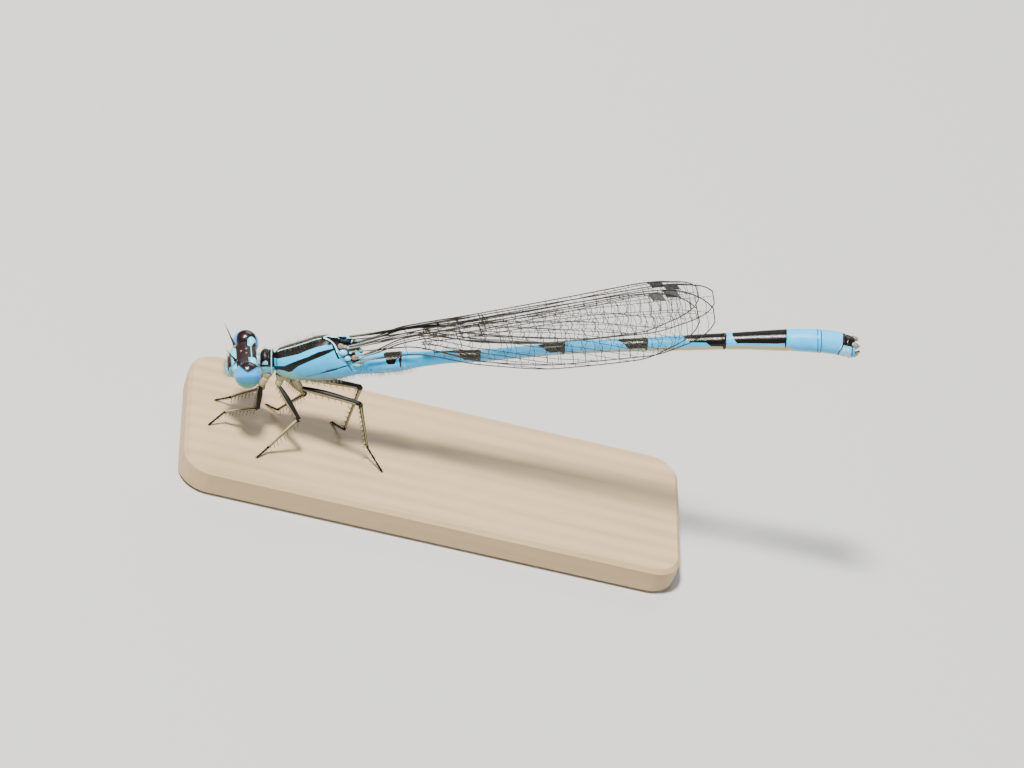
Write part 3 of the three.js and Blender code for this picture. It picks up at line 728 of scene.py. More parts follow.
# The neck: a short sleeve of soft pale skin that carries the head, sunk into the head at its front
# and into the saddle at its back.
NECK_PATH = ((-2.0, 0.0, -0.1), (-1.7, 0.0, -0.12), (-1.35, 0.0, -0.2))
NECK_RADII = (0.3, 0.36, 0.42)
NECK_SIDES = 40
neck = closed_skin("neck_skin", swept(NECK_PATH, NECK_RADII, NECK_SIDES))
neck_skin, tree, shader = two_tone("neck_soft_skin", 0.5, 4000, (0.1, 0.2, 0.24, 1), (0.42, 0.62, 0.66, 1))
neck.data.materials.append(neck_skin)
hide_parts("neck")
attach(neck, "root")


# The head: one hard capsule, far wider than long, that carries an eye at each end. Its flat crown is
# maroon black with a blue spot behind each eye, a pale bar runs across the brow, and below it the face
# steps down through a dark shield to the pale lips. Lumps are (centre, radii, squareness).
HEAD_LUMPS = (
    ((-2.36, 0.0, -0.02), (0.52, 1.2, 0.5), 2.7),
    ((-2.02, 0.0, -0.04), (0.34, 1.12, 0.47), 2.5),
    ((-1.95, -0.84, 0.1), (0.27, 0.42, 0.5), 2.2),
    ((-1.95, 0.84, 0.1), (0.27, 0.42, 0.5), 2.2),
    ((-2.7, 0.0, -0.16), (0.38, 1.02, 0.46), 2.7),
    ((-2.98, 0.0, -0.34), (0.3, 0.62, 0.3), 2.5),
    ((-3.1, 0.0, -0.62), (0.33, 0.5, 0.2), 2.4),
    ((-3.06, 0.0, -0.83), (0.31, 0.43, 0.17), 2.3),
    ((-2.68, 0.0, -0.66), (0.46, 0.66, 0.42), 2.4),
    ((-2.72, -0.62, -0.5), (0.28, 0.3, 0.36), 2.2),
    ((-2.72, 0.62, -0.5), (0.28, 0.3, 0.36), 2.2),
)
HEAD_GRAIN = 0.03
HEAD_TURN = math.radians(4.7)
HEAD_MIDDLE = Vector((-2.2, 0.0, -0.1))
# The blue spot behind each eye, as its inner and outer edge at places along, then the other marks.
EYE_SPOT = ((-2.14, 0.5, 1.14), (-2.03, 0.44, 1.12), (-1.93, 0.48, 1.1), (-1.8, 0.62, 1.08),
            (-1.68, 0.84, 1.04))
EYE_SPOT_ALONG = (-2.15, -1.68)
CROWN_LINE_X, CROWN_LINE_OUT, CROWN_LINE_HALF_WIDTH = -1.98, 0.44, 0.025
BROW_ALONG, BROW_UP_FROM, BROW_OUT = (-3.04, -2.76), -0.25, 1.2
SHIELD_ALONG, SHIELD_UP, SHIELD_OUT = (-3.24, -3.04), (-0.48, 0.1), 0.5
UPPER_SEAM, LOWER_SEAM = -0.5, -0.74
SEAM_DEPTH = 0.012
LIPS_BELOW = -0.42
PIT_HEIGHT = 0.006

head_place = (
    body_place
    @ Matrix.Translation(HEAD_MIDDLE + Vector((0.05, 0, 0)))
    @ Matrix.Rotation(HEAD_TURN, 4, "Z")
    @ Matrix.Translation(-HEAD_MIDDLE)
)
lumps = bmesh.new()
for centre, radii, square in HEAD_LUMPS:
    for vertex in bmesh.ops.create_icosphere(lumps, subdivisions=4, radius=1.0)["verts"]:
        unit = np.array(vertex.co)
        unit /= (np.abs(unit) ** square).sum() ** (1 / square)
        vertex.co = Vector(centre + unit * radii)
head_start = bpy.data.meshes.new("head_skin_start")
lumps.to_mesh(head_start)
lumps.free()
holder = in_scene("head_skin_start", head_start)
fuse = holder.modifiers.new("fuse", "REMESH")
fuse.mode = "VOXEL"
fuse.voxel_size = HEAD_GRAIN
soften = holder.modifiers.new("soften", "SMOOTH")
soften.factor = 0.5
soften.iterations = 7
depsgraph = bpy.context.evaluated_depsgraph_get()
head_mesh = bpy.data.meshes.new_from_object(holder.evaluated_get(depsgraph), depsgraph=depsgraph)
head_mesh.name = "head_skin"
bpy.data.objects.remove(holder)

flat = np.empty(len(head_mesh.vertices) * 3, np.float32)
head_mesh.vertices.foreach_get("co", flat)
spots = flat.reshape(-1, 3).astype(float)
normals = np.empty_like(flat)
head_mesh.vertices.foreach_get("normal", normals)
normals = normals.reshape(-1, 3)
x, y, z = spots.T
out = np.abs(y)
spot_x, spot_in, spot_out = zip(*EYE_SPOT)
behind_eye = np.minimum(between(out, np.interp(x, spot_x, spot_in), np.interp(x, spot_x, spot_out)),
                        np.minimum(between(x, *EYE_SPOT_ALONG), z - 0.02))
crown_line = np.minimum(CROWN_LINE_HALF_WIDTH - np.abs(x - CROWN_LINE_X), CROWN_LINE_OUT - out)
crown_line = np.minimum(crown_line, z - 0.1)
brow_bar = np.minimum(between(x, BROW_ALONG[0], BROW_ALONG[1] - 0.03 * out), z - BROW_UP_FROM)
brow_bar = np.minimum(brow_bar, BROW_OUT - out)
blue = np.maximum(behind_eye, np.maximum(brow_bar, crown_line))
shield = np.minimum(between(z, *SHIELD_UP), np.minimum(SHIELD_OUT - out, between(x, *SHIELD_ALONG)))
seam_lines = np.maximum(0.014 - np.abs(z - UPPER_SEAM + 0.1 * out), 0.013 - np.abs(z - LOWER_SEAM))
dark = np.maximum(np.minimum(z + 0.08, x + 3.3), shield)
dark = np.maximum(dark, np.minimum(seam_lines, -2.75 - x))
dark = np.where((x > -2.3) & (z < 0.06), np.minimum(dark, z - 0.02), dark)
dark = np.minimum(dark, -blue)
seams = np.clip(1 - np.abs(z - UPPER_SEAM) / 0.05, 0, 1) + np.clip(1 - np.abs(z - LOWER_SEAM) / 0.04, 0, 1)
pits = PIT_HEIGHT * np.sin(x * 41 + np.sin(y * 23)) * np.sin(y * 37 + np.sin(x * 29))
spots += normals * (pits * (dark > 0) - SEAM_DEPTH * seams * (x < -2.8))[:, None]
head_mesh.vertices.foreach_set("co", spots.astype(np.float32).reshape(-1))
for mark, values in {"black": dark, "blue": blue, "lips": LIPS_BELOW - z}.items():
    attribute = head_mesh.attributes.new(mark, "FLOAT", "POINT")
    attribute.data.foreach_set("value", values.astype(np.float32))
head = finished_piece("head_skin", head_mesh, head_place)

head_cuticle, tree, shader = new_material("head_cuticle", 0.36, 0.3)
face_tone = mixed(tree, mottled(tree, 5200, 0.0, 1.0), (0.03, 0.27, 0.4, 1), (0.16, 0.5, 0.58, 1))
face_tone = mixed(tree, edge_mask(tree, "blue", 0.01), face_tone, (0.16, 0.7, 0.9, 1))
face_tone = mixed(tree, edge_mask(tree, "lips", 0.1), face_tone, (0.3, 0.62, 0.68, 1))
crown_tone = mixed(tree, mottled(tree, 4200, 0.0, 1.0), (0.006, 0.003, 0.003, 1), (0.024, 0.009, 0.009, 1))
face_tone = mixed(tree, edge_mask(tree, "black"), face_tone, crown_tone)
tree.links.new(face_tone, shader.inputs["Base Color"])
rough_grain(tree, shader, 16000, 0.00001)
head_mesh.materials.append(head_cuticle)
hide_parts("head")
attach(head, "root")


# The three small simple eyes on the crown, in a triangle: clear amber beads of one lens each, set in
# the cuticle. Each is its middle and its radius, and the hind one stands on both sides.
SIMPLE_EYES = (((-2.51, 0.0, 0.475), 0.062), ((-2.24, 0.17, 0.478), 0.056))
SIMPLE_EYE_FLATNESS = 0.75
bead_glass, tree, shader = two_tone("simple_eyes", 0.06, 8000, (0.12, 0.06, 0.04, 1), (0.35, 0.22, 0.16, 1))
bead_places = []
for middle, reach in SIMPLE_EYES:
    radii = (reach, reach, reach * SIMPLE_EYE_FLATNESS)
    bead_places.append((middle, radii, "bead", BOTH_SIDES if middle[1] else (1,)))
simple_eyes = pillows("simple_eyes", bead_places, {"bead": bead_glass}, head_place)
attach(simple_eyes, "root")


# The compound eyes: smooth domes of countless tiny lenses under a clear coat. The dark cap faces up
# and inwards, azure lies below it with a deeper band, and the underside turns sea green.
EYE_CENTRE = (-2.24, 1.3, -0.08)
EYE_RADII = (0.69, 0.62, 0.75)
EYE_RINGS = 90
EYE_SIDES = 128
POLE_GAP = 0.02
CAP_FROM = 0.1
# How fast the edge of the cap sinks towards the front and towards the back, and how round it is above.
CAP_FRONT, CAP_BACK, CAP_ROUNDING = 1.2, 0.66, 0.03
# The colours of an eye from its underside up to its cap.
EYE_BANDS = (
    (0.0, (0.2, 0.36, 0.24, 1)),
    (0.04, (0.06, 0.3, 0.22, 1)),
    (0.16, (0.015, 0.25, 0.28, 1)),
    (0.27, (0.01, 0.22, 0.42, 1)),
    (0.36, (0.01, 0.22, 0.58, 1)),
    (0.46, (0.03, 0.42, 0.9, 1)),
    (0.62, (0.03, 0.38, 0.88, 1)),
    (1.0, (0.02, 0.3, 0.75, 1)),
)
CAP_BROWN = (0.014, 0.006, 0.009, 1)
FACETS_PER_METRE = 34000
FACET_DEPTH = 0.000003


def eye_ball(side):
    """One eye as rings about its outward axis, with its height towards the cap as a named value."""
    turn_in = np.linspace(POLE_GAP, math.pi - POLE_GAP, EYE_RINGS)[:, None]
    turn_round = np.linspace(0, 2 * math.pi, EYE_SIDES, endpoint=False)[None, :]
    along_part = np.sin(turn_in) * np.cos(turn_round)
    out_part = np.cos(turn_in) + 0 * turn_round
    up_part = np.sin(turn_in) * np.sin(turn_round)
    x, y, z = [
        middle + reach * part
        for middle, reach, part in zip(EYE_CENTRE, EYE_RADII, (along_part, out_part, up_part))
    ]
    level = SIDE_RISE * up_part - SIDE_OUT * out_part
    bend = np.sqrt(along_part**2 + CAP_ROUNDING) - math.sqrt(CAP_ROUNDING)
    cap = level - CAP_FROM - np.where(along_part < 0, CAP_FRONT, CAP_BACK) * bend
    name = "left" if side < 0 else "right"
    rings = np.stack([x, side * y, z], -1)
    return closed_skin(f"eye_skin_{name}", rings, {"cap": cap, "level": level}, head_place)


eye_surface, tree, shader = new_material("compound_eye", 0.24, 0.35)
eye_tone = colour_bands(tree, ranged(tree, mesh_value(tree, "level"), -1.0, 1.0), EYE_BANDS)
eye_tone = mixed(tree, edge_mask(tree, "cap", 0.13), eye_tone, CAP_BROWN)
tree.links.new(eye_tone, shader.inputs["Base Color"])
facets = tree.nodes.new("ShaderNodeTexVoronoi")
facets.inputs["Scale"].default_value = FACETS_PER_METRE
place = tree.nodes.new("ShaderNodeTexCoord")
tree.links.new(place.outputs["Object"], facets.inputs["Vector"])
facet_bump = tree.nodes.new("ShaderNodeBump")
facet_bump.inputs["Distance"].default_value = FACET_DEPTH
tree.links.new(facets.outputs["Distance"], facet_bump.inputs["Height"])
tree.links.new(facet_bump.outputs["Normal"], shader.inputs["Normal"])
shader.inputs["Coat Weight"].default_value = 0.3
shader.inputs["Coat Roughness"].default_value = 0.06
shader.inputs["Sheen Weight"].default_value = 0.6
shader.inputs["Sheen Roughness"].default_value = 0.15
for side, name in ((-1, "left"), (1, "right")):
    eye = eye_ball(side)
    eye.data.materials.append(eye_surface)
    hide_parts(f"eye_{name}")
    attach(eye, "root")


# The antennae: two short stout joints with a pale ring, then a fine bristle that thins to a pale tip.
# They are jointed to the face in front of the crown, one beside each eye.
ANTENNA_PATH = ((-2.7, 0.55, 0.12), (-2.8, 0.6, 0.32), (-2.88, 0.68, 0.52), (-3.02, 0.82, 0.86),
                (-3.18, 0.99, 1.24), (-3.33, 1.15, 1.62))
ANTENNA_RADII = (0.1, 0.105, 0.07, 0.035, 0.028, 0.016)
ANTENNA_RINGS = 60
ANTENNA_SIDES = 16
# Where it narrows between two joints, counted in points of the path, and by how much.
ANTENNA_WAISTS = ((1.02, 0.25), (2.05, 0.2))
WAIST_LENGTH = 0.06
PALE_RING, PALE_RING_HALF, PALE_TIP = 1.2, 0.14, 4.0
antenna_cuticle, tree, shader = new_material("antenna_cuticle", 0.35)
tone = mixed(tree, edge_mask(tree, "pale", 0.3), (0.025, 0.02, 0.02, 1), (0.5, 0.45, 0.36, 1))
tree.links.new(tone, shader.inputs["Base Color"])
for side, name in ((-1, "left"), (1, "right")):
    stops = range(len(ANTENNA_PATH))
    steps = np.linspace(0, stops[-1], ANTENNA_RINGS)
    path = np.stack([smooth_between(stops, values, steps) for values in zip(*ANTENNA_PATH)], -1)
    path[:, 1] *= side
    radii = np.interp(steps, stops, ANTENNA_RADII)
    radii *= 1 - sum(share * np.exp(-(((steps - at) / WAIST_LENGTH) ** 2)) for at, share in ANTENNA_WAISTS)
    pale = np.maximum(steps - PALE_TIP, PALE_RING_HALF - np.abs(steps - PALE_RING))
    pale = np.repeat(pale[:, None], ANTENNA_SIDES, 1)
    rings = swept(path, radii, ANTENNA_SIDES)
    antenna = closed_skin(f"antenna_skin_{name}", rings, {"pale": pale}, head_place)
    antenna.data.materials.append(antenna_cuticle)
    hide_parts(f"antenna_{name}")
    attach(antenna, "root")


# The legs: thin jointed tubes of cuticle, black above and cream below, each with a hip, a ring, a thigh,
# a shin and a three-jointed foot with two claws. They are jointed to the thorax, and the feet rest on
# the base. Points are hip, ring, knee, ankle and, without its height, toe.
LEGS = {
    "front_left": ((-1.2, -0.4, -0.95), (-1.48, -0.5, -1.42), (-1.67, -0.9, -2.65),
                   (-3.44, -0.75, -3.08), (-4.17, -1.08)),
    "mid_left": ((-0.45, -0.42, -1.1), (-0.58, -0.52, -1.4), (0.49, -1.7, -2.76),
                 (-1.15, -2.3, -4.19), (-1.64, -2.81)),
    "hind_left": ((0.3, -0.42, -1.1), (0.57, -0.5, -1.6), (3.7, -1.1, -2.21),
                  (4.01, -1.0, -5.28), (4.74, -1.71)),
    "front_right": ((-1.2, 0.4, -0.95), (-1.35, 0.5, -1.44), (-1.46, 0.9, -2.8),
                    (-3.23, 0.8, -3.36), (-3.91, 0.96)),
    "mid_right": ((-0.45, 0.42, -1.1), (-0.1, 0.5, -1.9), (0.76, 0.9, -3.2),
                  (-0.73, 0.95, -4.33), (-1.3, 1.48)),
    "hind_right": ((0.3, 0.42, -1.1), (0.68, 0.5, -1.75), (3.67, 0.85, -2.69),
                   (2.76, 0.55, -5.36), (2.14, 1.25)),
}
HIP_ROOTS = {"front": (-1.12, 0.3, -0.72), "mid": (-0.4, 0.34, -0.8), "hind": (0.42, 0.36, -0.92)}
# The top of the base in the body's frame, which drops towards the tail, and the toe's half thickness.
FLOOR_AT = 4.9
FLOOR_SLOPE = 0.30
TOE_ABOVE_FLOOR = 0.07
LEG_SIDES = 20
HIP_RADII = (0.3, 0.26, 0.2)
RING_RADII = (0.19, 0.2, 0.16)
THIGH_RADII, THIGH_BOW = (0.1, 0.15, 0.18, 0.17, 0.15, 0.13), (0, 0, 0.05)
SHIN_RADII, SHIN_BOW = (0.125, 0.1, 0.085, 0.075, 0.07, 0.075), (0, 0, 0.03)
LIMB_RINGS = 24
FOOT_RADII = (0.045, 0.055, 0.065)
FOOT_JOINTS = (0, 0.22, 0.5, 1)
CLAW_RADII = (0.03, 0.026, 0.006)
# The directions that count as the upper face of a limb and as the outer face of a hip.
UPPER_FACE = (0.35, 0.0, 1.0)
OUTER_FACE = (0.0, 1.0, 0.25)


def unit(direction):
    """A direction with length one."""
    return direction / np.linalg.norm(direction)


def leg_part(points, radii, count, bow=(0, 0, 0)):
    """Rings along a tapered, bowed limb piece, how far up each point faces, and its way out."""
    share = np.linspace(0, 1, count)
    start, end = np.asarray(points[0], float), np.asarray(points[1], float)
    path = start + (end - start) * share[:, None] + np.asarray(bow) * (4 * share * (1 - share))[:, None]
    rings = swept(path, np.interp(share, np.linspace(0, 1, len(radii)), radii), LEG_SIDES)
    lift = rings - path[:, None, :]
    lift /= np.linalg.norm(lift, axis=2)[:, :, None]
    heading = unit(end - start)
    upper = np.array(UPPER_FACE)
    upper -= heading * upper.dot(heading)
    return rings, lift @ unit(upper), lift


def joined_parts(name, parts, marks):
    """One piece from several closed rings of points, with one named value each."""
    points, faces, values = [], [], []
    for rings, mark in zip(parts, marks):
        count, sides = rings.shape[:2]
        first = len(points)
        last = first + (count - 1) * sides
        points += rings.reshape(-1, 3).tolist() + [rings[0].mean(0).tolist(), rings[-1].mean(0).tolist()]
        values += mark.reshape(-1).tolist() + [mark[0].mean(), mark[-1].mean()]
        for near in range(first, last, sides):
            far = near + sides
            for j in range(sides):
                k = (j + 1) % sides
                faces.append((near + j, near + k, far + k, far + j))
        for j in range(sides):
            k = (j + 1) % sides
            faces.append((last + sides, first + k, first + j))
            faces.append((last + sides + 1, last + j, last + k))
    mesh = bpy.data.meshes.new(name)
    mesh.from_pydata(points, [], faces)
    attribute = mesh.attributes.new("black", "FLOAT", "POINT")
    attribute.data.foreach_set("value", np.asarray(values, np.float32))
    return finished_piece(name, mesh)


leg_cuticle, tree, shader = new_material("leg_cuticle", 0.42, 0.25)
leg_tone = mixed(tree, mottled(tree, 5000, 0.0, 1.0), (0.42, 0.32, 0.19, 1), (0.34, 0.33, 0.19, 1))
leg_tone = mixed(tree, edge_mask(tree, "black", 0.12), leg_tone, (0.008, 0.006, 0.005, 1))
tree.links.new(leg_tone, shader.inputs["Base Color"])
rough_grain(tree, shader, 16000, 0.000006)
leg_tracks = []
for leg_name, (hip, ring, knee, ankle, toe) in LEGS.items():
    side = -1 if leg_name.endswith("left") else 1
    root = np.array(HIP_ROOTS[leg_name.split("_")[0]]) * (1, side, 1)
    outward = unit(np.array(OUTER_FACE) * (1, side, 1))
    ankle, toe = np.array(ankle), np.array((*toe, TOE_ABOVE_FLOOR - FLOOR_AT - FLOOR_SLOPE * toe[0]))
    pieces = [
        (leg_part((root, hip), HIP_RADII, 8), "hip"),
        (leg_part((hip, ring), RING_RADII, 6), "hip"),
        (leg_part((ring, knee), THIGH_RADII, LIMB_RINGS, THIGH_BOW), "thigh"),
        (leg_part((knee, ankle), SHIN_RADII, LIMB_RINGS, SHIN_BOW), "shin"),
    ]
    knuckles = [ankle + (toe - ankle) * share for share in FOOT_JOINTS]
    for start, end in zip(knuckles[:-1], knuckles[1:]):
        pieces.append((leg_part((start, end), FOOT_RADII, 6), "foot"))
    heading = unit(toe - ankle)
    sideways = np.cross(heading, (0, 0, 1))
    for swing_out in (-1, 1):
        claw_bend = toe + heading * 0.09 + sideways * swing_out * 0.05 + (0, 0, 0.02)
        claw_tip = claw_bend + heading * 0.07 + sideways * swing_out * 0.03 - (0, 0, 0.05)
        pieces.append((leg_part((toe, claw_bend), CLAW_RADII[:2], 4), "foot"))
        pieces.append((leg_part((claw_bend, claw_tip), CLAW_RADII[1:], 4), "foot"))
    # Black lies on the upper face of a thigh with a line below it, on the lower face of a shin with a
    # line above it, round the knee and the ankle, over a foot, and as a stripe down a hip.
    marks = []
    for (rings, upper, lift), kind in pieces:
        share = np.linspace(0, 1, len(rings))[:, None]
        if kind == "thigh":
            mark = np.maximum(upper - 0.28, 0.14 - np.abs(upper + 0.28))
            mark = np.maximum(mark, share * 9 - 8.4)
        elif kind == "shin":
            mark = np.maximum(-upper - 0.3, 0.22 - np.abs(upper - 0.55))
            mark = np.maximum(mark, np.maximum(0.6 - share * 14, share * 9 - 8.5))
        elif kind == "foot":
            mark = np.maximum(upper + 0.1, np.abs(share - 0.5) * 4 - 1.75)
        else:
            mark = 0.25 - np.abs(lift @ outward - 0.25) + 0 * share
        marks.append(mark)
    leg = joined_parts(f"leg_{leg_name}", [part[0] for part, kind in pieces], marks)
    leg.data.materials.append(leg_cuticle)
    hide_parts(f"femur_{leg_name}", f"tibia_{leg_name}", f"tarsus_{leg_name}")
    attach(leg, "root")
    leg_tracks.append((np.array(ring), np.array(knee), ankle, toe))


# Bristles and hairs: stiff dark bristles in two rows down each leg, and fine pale hairs on the back,
# breast, saddle, face and the root of the abdomen. Each is a tapered, bent cone that grows from its
# socket in the cuticle.
HAIR_SIDES = 3
HAIR_STATIONS = (0.0, 0.35, 0.7, 1.0)
HAIR_TAPER = (1.0, 0.8, 0.5, 0.08)
BAKE_PATCH = 0.003
# The rows of thigh, shin and foot: how many bristles, how long, and how far out of the limb's middle.
BRISTLE_ROWS = ((9, 0.26, 0.12), (9, 0.32, 0.06), (6, 0.09, 0.04))
BRISTLE_THICKNESS = 0.025
TIP_ABOVE_FLOOR = 0.03


def hairs(name, roots, tips, sag, thickness, root_uv, material):
    """Tapered bent hairs as one mesh. Each has a small patch of the bake map at its root's place."""
    count, stations = len(roots), len(HAIR_STATIONS)
    share = np.asarray(HAIR_STATIONS)[None, :, None]
    spine = roots[:, None, :] * (1 - share) + tips[:, None, :] * share
    spine = spine + sag[:, None, :] * share * (1 - share) * 2
    direction = tips - roots
    direction /= np.linalg.norm(direction, axis=1)[:, None]
    first = np.cross(direction, (0.31, 0.2, 0.93))
    first /= np.linalg.norm(first, axis=1)[:, None]
    second = np.cross(direction, first)
    angle = (np.arange(HAIR_SIDES) * 2 * math.pi / HAIR_SIDES)[None, :, None]
    ring = np.cos(angle) * first[:, None, :] + np.sin(angle) * second[:, None, :]
    reach = thickness * np.asarray(HAIR_TAPER)
    points = spine[:, :, None, :] + reach[None, :, None, None] * ring[:, None, :, :]
    near = np.arange(count)[:, None, None, None] * stations * HAIR_SIDES
    near = near + np.arange(stations - 1)[None, :, None, None] * HAIR_SIDES
    far = near + HAIR_SIDES
    j = np.arange(HAIR_SIDES)[None, None, :, None]
    k = (j + 1) % HAIR_SIDES
    quads = np.concatenate([near + j, near + k, far + k, far + j], -1)
    mesh = bpy.data.meshes.new(name)
    mesh.from_pydata(points.reshape(-1, 3).tolist(), [], quads.reshape(-1, 4).tolist())
    bake = mesh.uv_layers.new(name="OFBake")
    corner = np.empty(len(mesh.loops), np.int32)
    mesh.loops.foreach_get("vertex_index", corner)
    hair_of, within = np.divmod(corner, stations * HAIR_SIDES)
    patch = np.stack([(within % HAIR_SIDES) / HAIR_SIDES, (within // HAIR_SIDES) / stations], -1)
    uv = np.clip(root_uv[hair_of] + BAKE_PATCH * patch, 0, 1)
    bake.data.foreach_set("uv", uv.astype(np.float32).reshape(-1))
    mesh.materials.append(material)
    mesh.transform(body_place)
    piece = in_scene(name, mesh)
    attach(piece, "root")
    return piece


BRISTLE_BROWNS = ((0.03, 0.022, 0.016, 1), (0.12, 0.09, 0.06, 1))
bristle_dark, tree, shader = two_tone("bristle_dark", 0.4, 9000, *BRISTLE_BROWNS)
chance = np.random.default_rng(40)
roots, tips, sags, places = [], [], [], []
for number, joints in enumerate(leg_tracks):
    for start, end, (count, length, depth) in zip(joints[:-1], joints[1:], BRISTLE_ROWS):
        heading = unit(end - start)
        down = np.array((0, 0, -1.0)) if abs(heading[2]) < 0.8 else np.array((-1.0, 0, 0))
        down = unit(down - heading * down.dot(heading))
        across = np.cross(heading, down)
        for row in (-1, 1):
            lean = down * 0.8 + across * row * 0.6
            for step in range(count):
                share = (step + 0.6 + 0.125 * row) / (count + 0.4)
                root = start + (end - start) * share + lean * depth
                slant = unit(lean * (0.85 + 0.1 * chance.random()) + heading * 0.5)
                roots.append(root)
                tips.append(root + slant * length * (0.8 + 0.35 * chance.random()))
                sags.append(lean * 0.03)
                places.append((0.05 + 0.15 * number, 0.05 + 0.9 * share))
roots, tips, sags, places = [np.asarray(values) for values in (roots, tips, sags, places)]
tips[:, 2] = np.maximum(tips[:, 2], TIP_ABOVE_FLOOR - FLOOR_AT - FLOOR_SLOPE * tips[:, 0])
bristles = hairs("leg_bristles", roots, tips, sags, BRISTLE_THICKNESS, places, bristle_dark)


def skin_roots(piece, count, wanted, seed):
    """Random places on a skin where a rule on the place and normal, in the body's frame, is met."""
    mesh = piece.data
    back = np.array(body_place.inverted())
    points = np.empty(len(mesh.vertices) * 3)
    mesh.vertices.foreach_get("co", points)
    points = points.reshape(-1, 3) @ back[:3, :3].T + back[:3, 3]
    facing = np.empty(len(mesh.vertices) * 3)
    mesh.vertices.foreach_get("normal", facing)
    facing = facing.reshape(-1, 3) @ np.array(turn)
    weight = wanted(points, facing)
    draw = np.random.default_rng(seed)
    picked = draw.choice(len(points), count, p=weight / weight.sum())
    jitter = draw.normal(0, 0.012, (count, 3))
    return points[picked] + jitter, facing[picked], draw


def body_hairs(name, coat, material):
    """Fine hairs on one skin that stand along its normal, spread and lean as given."""
    count = coat["count"]
    roots, facing, draw = skin_roots(coat["skin"], count, coat["where"], coat["seed"])
    direction = facing + draw.normal(0, coat["spread"], (count, 3)) + np.asarray(coat["lean"])
    direction /= np.linalg.norm(direction, axis=1)[:, None]
    reach = coat["length"] * draw.uniform(0.55, 1.15, count)[:, None]
    low_x, high_x = coat["bake_span"]
    around_share = np.arctan2(roots[:, 1], roots[:, 2] + 0.1) / (2 * math.pi) + 0.5
    along_share = (roots[:, 0] - low_x) / (high_x - low_x)
    places = np.stack([0.02 + 0.95 * along_share, coat["bake_row"] + 0.18 * around_share], -1)
    sag = draw.normal(0, 0.03, (count, 3))
    tips = roots + direction * reach
    piece = hairs(name, roots - facing * 0.02, tips, sag, coat["thickness"], places, material)


def along_body(points, low, high):
    """How far inside two places along the body a point lies, or zero."""
    return between(points[:, 0], low, high).clip(0)


# Each coat has a rule for how thickly it grows at a point p with a normal n.
COATS = {
    "hairs_back": {
        "skin": thorax, "count": 210, "length": 0.42, "spread": 0.14, "lean": (-0.05, 0, 0.35),
        "thickness": 0.0055, "seed": 41, "bake_span": (-0.8, 3.8), "bake_row": 0.01,
        "where": lambda p, n: (
            (n[:, 2] > 0.25) * along_body(p, -0.6, 2.2) ** 0.3 * np.exp(-((p[:, 1] / 0.3) ** 2))
        ),
    },
    "hairs_breast": {
        "skin": thorax, "count": 900, "length": 0.3, "spread": 0.25, "lean": (0.1, 0, -0.2),
        "thickness": 0.0062, "seed": 42, "bake_span": (-0.8, 3.8), "bake_row": 0.21,
        "where": lambda p, n: (
            (n[:, 2] < 0.1) * along_body(p, -0.7, 3.4) ** 0.2 * (SIDE_RISE * p[:, 2] < -0.5)
        ),
    },
    "hairs_saddle": {
        "skin": prothorax, "count": 50, "length": 0.26, "spread": 0.25, "lean": (-0.2, 0, 0.3),
        "thickness": 0.005, "seed": 43, "bake_span": (-1.5, -0.7), "bake_row": 0.41,
        "where": lambda p, n: (p[:, 0] < -0.8) * (p[:, 0] > -1.46) * (0.3 + n[:, 2].clip(0)),
    },
    "hairs_face": {
        "skin": head, "count": 230, "length": 0.26, "spread": 0.28, "lean": (-0.3, 0, 0.15),
        "thickness": 0.005, "seed": 44, "bake_span": (-3.6, -2.7), "bake_row": 0.61,
        "where": lambda p, n: (
            (p[:, 0] < -2.85) * (n[:, 0] < -0.15) * (np.abs(p[:, 1]) < 0.95) * (0.4 + (p[:, 2] < -0.2))
        ),
    },
    "hairs_tail_root": {
        "skin": abdomen, "count": 650, "length": 0.28, "spread": 0.25, "lean": (0.15, 0, -0.2),
        "thickness": 0.0065, "seed": 45, "bake_span": (3.0, 30.0), "bake_row": 0.81,
        "where": lambda p, n: (n[:, 2] < 0.1) * along_body(p, 3.1, 6.6) ** 0.2,
    },
}
hair_pale, tree, shader = two_tone("hair_pale", 0.45, 6000, (0.17, 0.14, 0.09, 1), (0.36, 0.31, 0.22, 1))
for coat_name, coat in COATS.items():
    body_hairs(coat_name, coat, hair_pale)


# The stand: a thin planed strip of pale fine-grained wood, oiled, with its edges eased. It is one solid
# piece, and the insect's feet are glued to its top.
GRAIN_STRETCH = (55, 900, 900)
FIBRES = {"Scale": 2.2, "Detail": 6.0, "Distortion": 0.5}
GROWTH_BANDS = {"Scale": 0.35, "Detail": 3.0, "Distortion": 3.5}
FIBRE_DEPTH = 0.00002
WOOD_PALE, WOOD_DARK, WOOD_FIBRE = (0.52, 0.36, 0.19, 1), (0.42, 0.27, 0.13, 1), (0.58, 0.42, 0.24, 1)
base_wood, tree, shader = new_material("base_wood", 0.48)
place = tree.nodes.new("ShaderNodeTexCoord")
stretch = tree.nodes.new("ShaderNodeMapping")
stretch.inputs["Scale"].default_value = GRAIN_STRETCH
fibres = tree.nodes.new("ShaderNodeTexNoise")
growth = tree.nodes.new("ShaderNodeTexWave")
growth.bands_direction = "Y"
tree.links.new(place.outputs["Object"], stretch.inputs["Vector"])
for texture, settings in ((fibres, FIBRES), (growth, GROWTH_BANDS)):
    for socket, setting in settings.items():
        texture.inputs[socket].default_value = setting
    tree.links.new(stretch.outputs["Vector"], texture.inputs["Vector"])
tone = mixed(tree, growth.outputs["Fac"], WOOD_PALE, WOOD_DARK)
tone = mixed(tree, fibres.outputs["Fac"], tone, WOOD_FIBRE)
tree.links.new(tone, shader.inputs["Base Color"])
grain_bump = tree.nodes.new("ShaderNodeBump")
grain_bump.inputs["Distance"].default_value = FIBRE_DEPTH
tree.links.new(fibres.outputs["Fac"], grain_bump.inputs["Height"])
